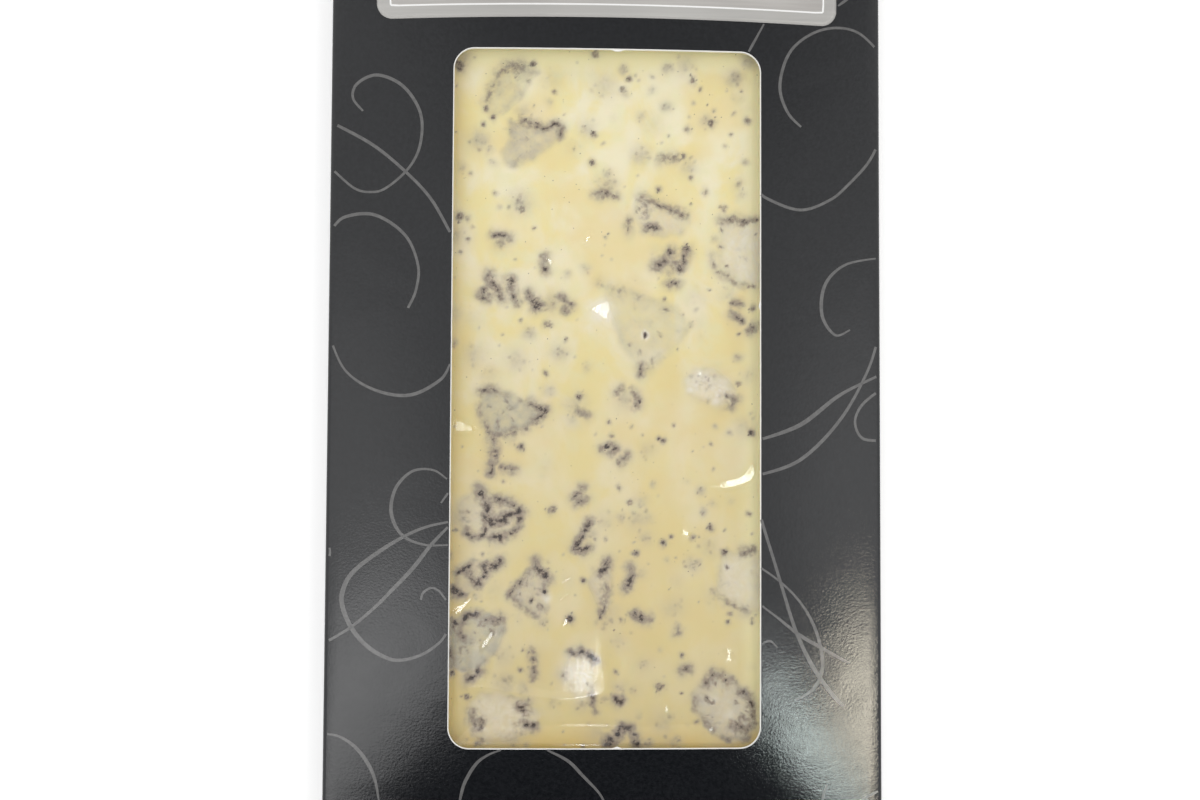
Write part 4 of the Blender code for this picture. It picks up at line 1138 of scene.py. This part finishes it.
def paint(x, y):
    """How grey, dark, pale and lavender the face is at each point, and its painted gold shade and
    light.
    """
    wx, wy = warped(x, y)
    marks = [np.zeros(x.shape) for _ in range(3)] + [np.full(x.shape, PLAIN_HUE)]
    for draw_marks in (paint_chunks, paint_strokes, paint_dots):
        draw_marks(wx, wy, marks)
    grey, dark, pale, hue = marks
    dark = dark * np.interp(y - WINDOW_Y, MARK_HEIGHTS, MARK_SHARES)
    # Painted shade in the pinhole's pit, and a ring of painted glint round it.
    hole_x, hole_y = on_slab(*PINHOLE)
    hole = np.hypot(x - hole_x, y - hole_y)
    pale = np.maximum(pale, 0.7 * fade(hole - PINHOLE_GLINT, PINHOLE_GLINT_WIDTH))
    dark = np.maximum(dark, 1.5 * fade(hole, PINHOLE_RADIUS))
    # Pale patches: pale cream in places, painted highlights of the film's glare in others.
    for px, py, radius, strength in PALE_AND_GLARE:
        cx, cy = on_slab(px, py)
        pale = np.maximum(pale, strength * fade(np.hypot(wx - cx, wy - cy), radius * PIXEL))
    # Painted golden shade along the window's left and lower edges, painted light along its top and
    # right.
    left, right = np.maximum(WINDOW_WIDTH / 2 + x, 0), np.maximum(WINDOW_WIDTH / 2 - x, 0)
    low = np.maximum(WINDOW_LENGTH / 2 + y - WINDOW_Y, 0)
    high = np.maximum(WINDOW_LENGTH / 2 - y + WINDOW_Y, 0)
    edge_shade = np.maximum(0.5 * fade(left, PAINTED_SHADE_LEFT), 0.95 * fade(low, PAINTED_SHADE_LOW))
    edge_shade = edge_shade * (0.5 + 0.9 * cloud(x, y, 6 * MM, 9))
    # Painted light, lifting the face's colour along the window's upper and right edges.
    lift = np.maximum(fade(high, PAINTED_LIGHT_HIGH), 0.9 * fade(right, PAINTED_LIGHT_RIGHT))
    return grey, dark, pale, hue, np.clip(edge_shade, 0, 1), lift


def face_relief(x, y):
    """Low swell of the poured face."""
    waves = np.sin(x / (9.1 * MM) + 1.3) * np.cos((y - WINDOW_Y) / (12.7 * MM) - 0.4)
    waves = waves + 0.6 * np.sin(x / (4.9 * MM) - (y - WINDOW_Y) / (6.3 * MM))
    return 0.08 * MM * waves


def store_marks(mesh):
    """Paints a mesh: its marks and tint, painted shade and light too, become two colour attributes."""
    places = np.array([vert.co[:] for vert in mesh.vertices])
    grey, dark, pale, hue, edge_shade, lift = paint(places[:, 0], places[:, 1])
    ones = np.ones(len(places))
    for name, bands in (("marks", (grey, dark, pale, ones)), ("tint", (hue, edge_shade, lift, ones))):
        layer = mesh.attributes.new(name, "FLOAT_COLOR", "POINT")
        layer.data.foreach_set("color", np.stack(bands, axis=-1).ravel().astype(np.float32))


def make_slab(finish):
    """The slab: a fine face, a soft edge all round, drafted sides and a flat back."""
    inset = SLAB_DRAFT + SLAB_EDGE
    half_width, half_length = SLAB_WIDTH / 2 - inset, SLAB_LENGTH / 2 - inset
    seen_width = WINDOW_WIDTH / 2 + SLAB_FINE_MARGIN
    seen_length = WINDOW_LENGTH / 2 + SLAB_FINE_MARGIN
    across = uneven_axis(-half_width, half_width, -seen_width, seen_width)
    along = uneven_axis(-half_length, half_length, -seen_length, seen_length)
    x, y = np.meshgrid(across, along)
    x, y = round_corners(x, y, half_width, half_length, SLAB_RADIUS)
    y = y + WINDOW_Y
    face = grid_object("slab_face", x, y, SLAB_TOP + face_relief(x, y), [])
    shape = bmesh.new()
    shape.from_mesh(face.data)
    bpy.data.objects.remove(face, do_unlink=True)
    rim = [edge for edge in shape.edges if edge.is_boundary]
    levels = (
        (SLAB_TOP - 0.3 * SLAB_EDGE, SLAB_DRAFT + 0.3 * SLAB_EDGE),
        (SLAB_TOP - SLAB_EDGE, SLAB_DRAFT),
        (SLAB_BOTTOM, 0.0),
    )
    for z_level, side_inset in levels:
        grown = bmesh.ops.extrude_edge_only(shape, edges=rim)["geom"]
        rim = [item for item in grown if isinstance(item, bmesh.types.BMEdge)]
        grow_x = (SLAB_WIDTH / 2 - side_inset) / (SLAB_WIDTH / 2 - inset)
        grow_y = (SLAB_LENGTH / 2 - side_inset) / (SLAB_LENGTH / 2 - inset)
        for vert in {vert for edge in rim for vert in edge.verts}:
            vert.co.x *= grow_x
            vert.co.y = WINDOW_Y + (vert.co.y - WINDOW_Y) * grow_y
            vert.co.z = z_level
        inset = side_inset
    bmesh.ops.contextual_create(shape, geom=rim)
    made = add_object("slab_chocolate", shape, [finish])
    store_marks(made.data)
    dress(made, "slab")


def make_chunk(number, flat, finish):
    """A cookie piece bedded in the face: a low dome over its outline, closed below the face."""
    outline = slab_outline(flat)
    cx, cy = middle_of(outline)
    around = smooth_line(outline + outline[:2], 8)[: len(outline) * 8]
    shape = bmesh.new()
    rings = []
    for t in steps(CHUNK_RINGS)[1:]:
        ring = []
        for px, py in around:
            x, y = cx + (px - cx) * t, cy + (py - cy) * t
            lump = noise.noise(Vector((x / CHUNK_LUMPS, y / CHUNK_LUMPS, number)))
            fine = noise.noise(Vector((x / CHUNK_GRAIN, y / CHUNK_GRAIN, number + 0.5)))
            rise = CHUNK_RISE * (1 - t ** 3) + (0.12 * lump * (1 - t ** 4) + 0.05 * fine) * MM
            z = SLAB_TOP + face_relief(x, y) + rise - CHUNK_SINK * t ** 4
            ring.append(shape.verts.new((x, y, z)))
        rings.append(ring)
    peak = shape.verts.new((cx, cy, SLAB_TOP + face_relief(cx, cy) + CHUNK_RISE))
    below = [shape.verts.new((v.co.x, v.co.y, SLAB_TOP - CHUNK_DEPTH)) for v in rings[-1]]
    for first, second in zip(rings[0], rings[0][1:] + rings[0][:1]):
        shape.faces.new((peak, first, second))
    for inner, outer in zip(rings, rings[1:] + [below]):
        join_rings(shape, inner, outer)
    shape.faces.new(below)
    made = add_object(f"cookie_chunk_{number:02d}", shape, [finish], 60)
    store_marks(made.data)
    dress(made, f"cookie_piece_{number:02d}")


def crumb_places():
    """Centre, radius and veil of each crumb: along the dark lines, in the dots and scattered."""
    draw = random.Random(CRUMB_SEED)
    placed = []
    for flat, width, strength in STROKES:
        if strength < 0.5:
            continue
        spread = width * PIXEL * 0.4
        for x, y in smooth_line(slab_outline(flat), 5):
            if draw.random() < 0.22 * strength:
                x, y = x + draw.gauss(0, spread), y + draw.gauss(0, spread)
                placed.append((x, y, draw.uniform(0.08, 0.19) * MM, draw.uniform(0.4, 1.0)))
    for px, py, radius, strength in DOTS:
        if strength < 0.8:
            continue
        x, y = on_slab(px, py)
        bare = strength > 1
        placed.append((x, y, radius * PIXEL * 0.34, 0 if bare else draw.uniform(0.3, 0.8)))
        spread = radius * PIXEL * 0.6
        for _ in range(round(radius * 0.6)):
            dx, dy = draw.gauss(0, spread), draw.gauss(0, spread)
            placed.append((x + dx, y + dy, draw.uniform(0.08, 0.18) * MM, draw.uniform(0.2, 0.8)))
    draw = random.Random(SPECK_SEED)
    for _ in range(SPECK_COUNT):
        x = draw.uniform(-1, 1) * (SLAB_WIDTH / 2 - SPECK_MARGIN)
        y = WINDOW_Y + draw.uniform(-1, 1) * (SLAB_LENGTH / 2 - SPECK_MARGIN)
        placed.append((x, y, draw.uniform(0.05, 0.13) * MM, draw.uniform(0.2, 0.9)))
    return placed


def make_crumbs():
    """Small crumbs half sunk in the face, as one piece. Bare ones are round."""
    draw = random.Random(CRUMB_SEED + 1)
    shape = bmesh.new()
    veil = shape.verts.layers.float.new("veil")
    for x, y, radius, cover in crumb_places():
        level = 1 if radius < 0.16 * MM else 2
        made = bmesh.ops.create_icosphere(shape, subdivisions=level, radius=radius)["verts"]
        turn = draw.uniform(0, math.pi)
        c, s = math.cos(turn), math.sin(turn)
        long = draw.uniform(1.0, 1.5) if cover else 1
        z = SLAB_TOP + face_relief(x, y) - 0.25 * radius
        for vert in made:
            rough = draw.uniform(0.82, 1.12)
            px, py = vert.co.x * long * rough, vert.co.y * rough
            vert.co = (x + px * c - py * s, y + px * s + py * c, z + vert.co.z * 0.5 * rough)
            vert[veil] = cover
    dress(add_object("cookie_crumbs", shape, [crumb_material()], 50))


def make_world():
    """Pale surroundings with soft brighter and darker patches overhead."""
    world = bpy.data.worlds.new("studio")
    bpy.context.scene.world = world
    nodes = Nodes(world, "Generated")
    x, y, z = nodes.add("SeparateXYZ", {0: nodes.place}).outputs
    height = nodes.math("MAXIMUM", z, SKY_LOWEST)
    slopes = [nodes.math("DIVIDE", side, height) for side in (x, y)]
    strength = SKY_LEVEL
    for centre, reach, even, change in SKY_PATCHES:
        squares = []
        for slope, middle, half in zip(slopes, centre, reach):
            offset = nodes.math("DIVIDE", nodes.math("SUBTRACT", slope, middle), half)
            squares.append(nodes.times(offset, offset))
        patch = nodes.ramp(nodes.math("ADD", *squares), even ** 2, 1, 1, 0)
        strength = nodes.times(strength, nodes.math("MULTIPLY_ADD", patch, change, 1))
    background = nodes.nodes["Background"]
    nodes.feed(background.inputs["Color"], (1.0, 1.0, 1.0))
    nodes.feed(background.inputs["Strength"], strength)


def make_lights():
    for name, (place, (width, length), turn, power, colour) in LAMPS.items():
        data = bpy.data.lights.new(f"lamp_{name}", "AREA")
        data.shape = "ELLIPSE"
        data.size = width
        data.size_y = length
        data.energy = power
        data.color = colour
        lamp = put(f"lamp_{name}", data)
        lamp.location = place
        lamp.rotation_euler.z = math.radians(turn)


def make_floor():
    shape = bmesh.new()
    bmesh.ops.create_grid(shape, x_segments=8, y_segments=8, size=FLOOR_SIZE)
    floor = add_object("floor", shape, [floor_material()])
    floor.location.z = -FLOOR_GAP


def make_camera():
    data = bpy.data.cameras.new("camera")
    data.sensor_width = SENSOR
    data.lens = SENSOR * FOCAL_PIXELS / PHOTO_WIDTH
    camera = put("camera", data)
    camera.location = CAMERA_PLACE
    camera.rotation_euler = CAMERA_TURN
    bpy.context.scene.camera = camera


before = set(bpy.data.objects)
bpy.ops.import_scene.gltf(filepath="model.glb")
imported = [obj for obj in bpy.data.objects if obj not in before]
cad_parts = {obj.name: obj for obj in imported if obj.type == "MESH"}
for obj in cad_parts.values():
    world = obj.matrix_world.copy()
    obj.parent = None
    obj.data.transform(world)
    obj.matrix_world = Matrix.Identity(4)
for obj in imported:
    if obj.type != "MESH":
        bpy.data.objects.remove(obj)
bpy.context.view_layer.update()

make_camera()
make_world()
make_lights()
make_floor()
make_carton()
make_cut_edge()
make_flourishes()
make_label()
make_film()
chocolate = chocolate_material()
make_slab(chocolate)
for chunk_number, chunk in enumerate(CHUNKS, 1):
    make_chunk(chunk_number, chunk[0], chocolate)
make_crumbs()
bpy.context.scene.view_settings.view_transform = "Standard"

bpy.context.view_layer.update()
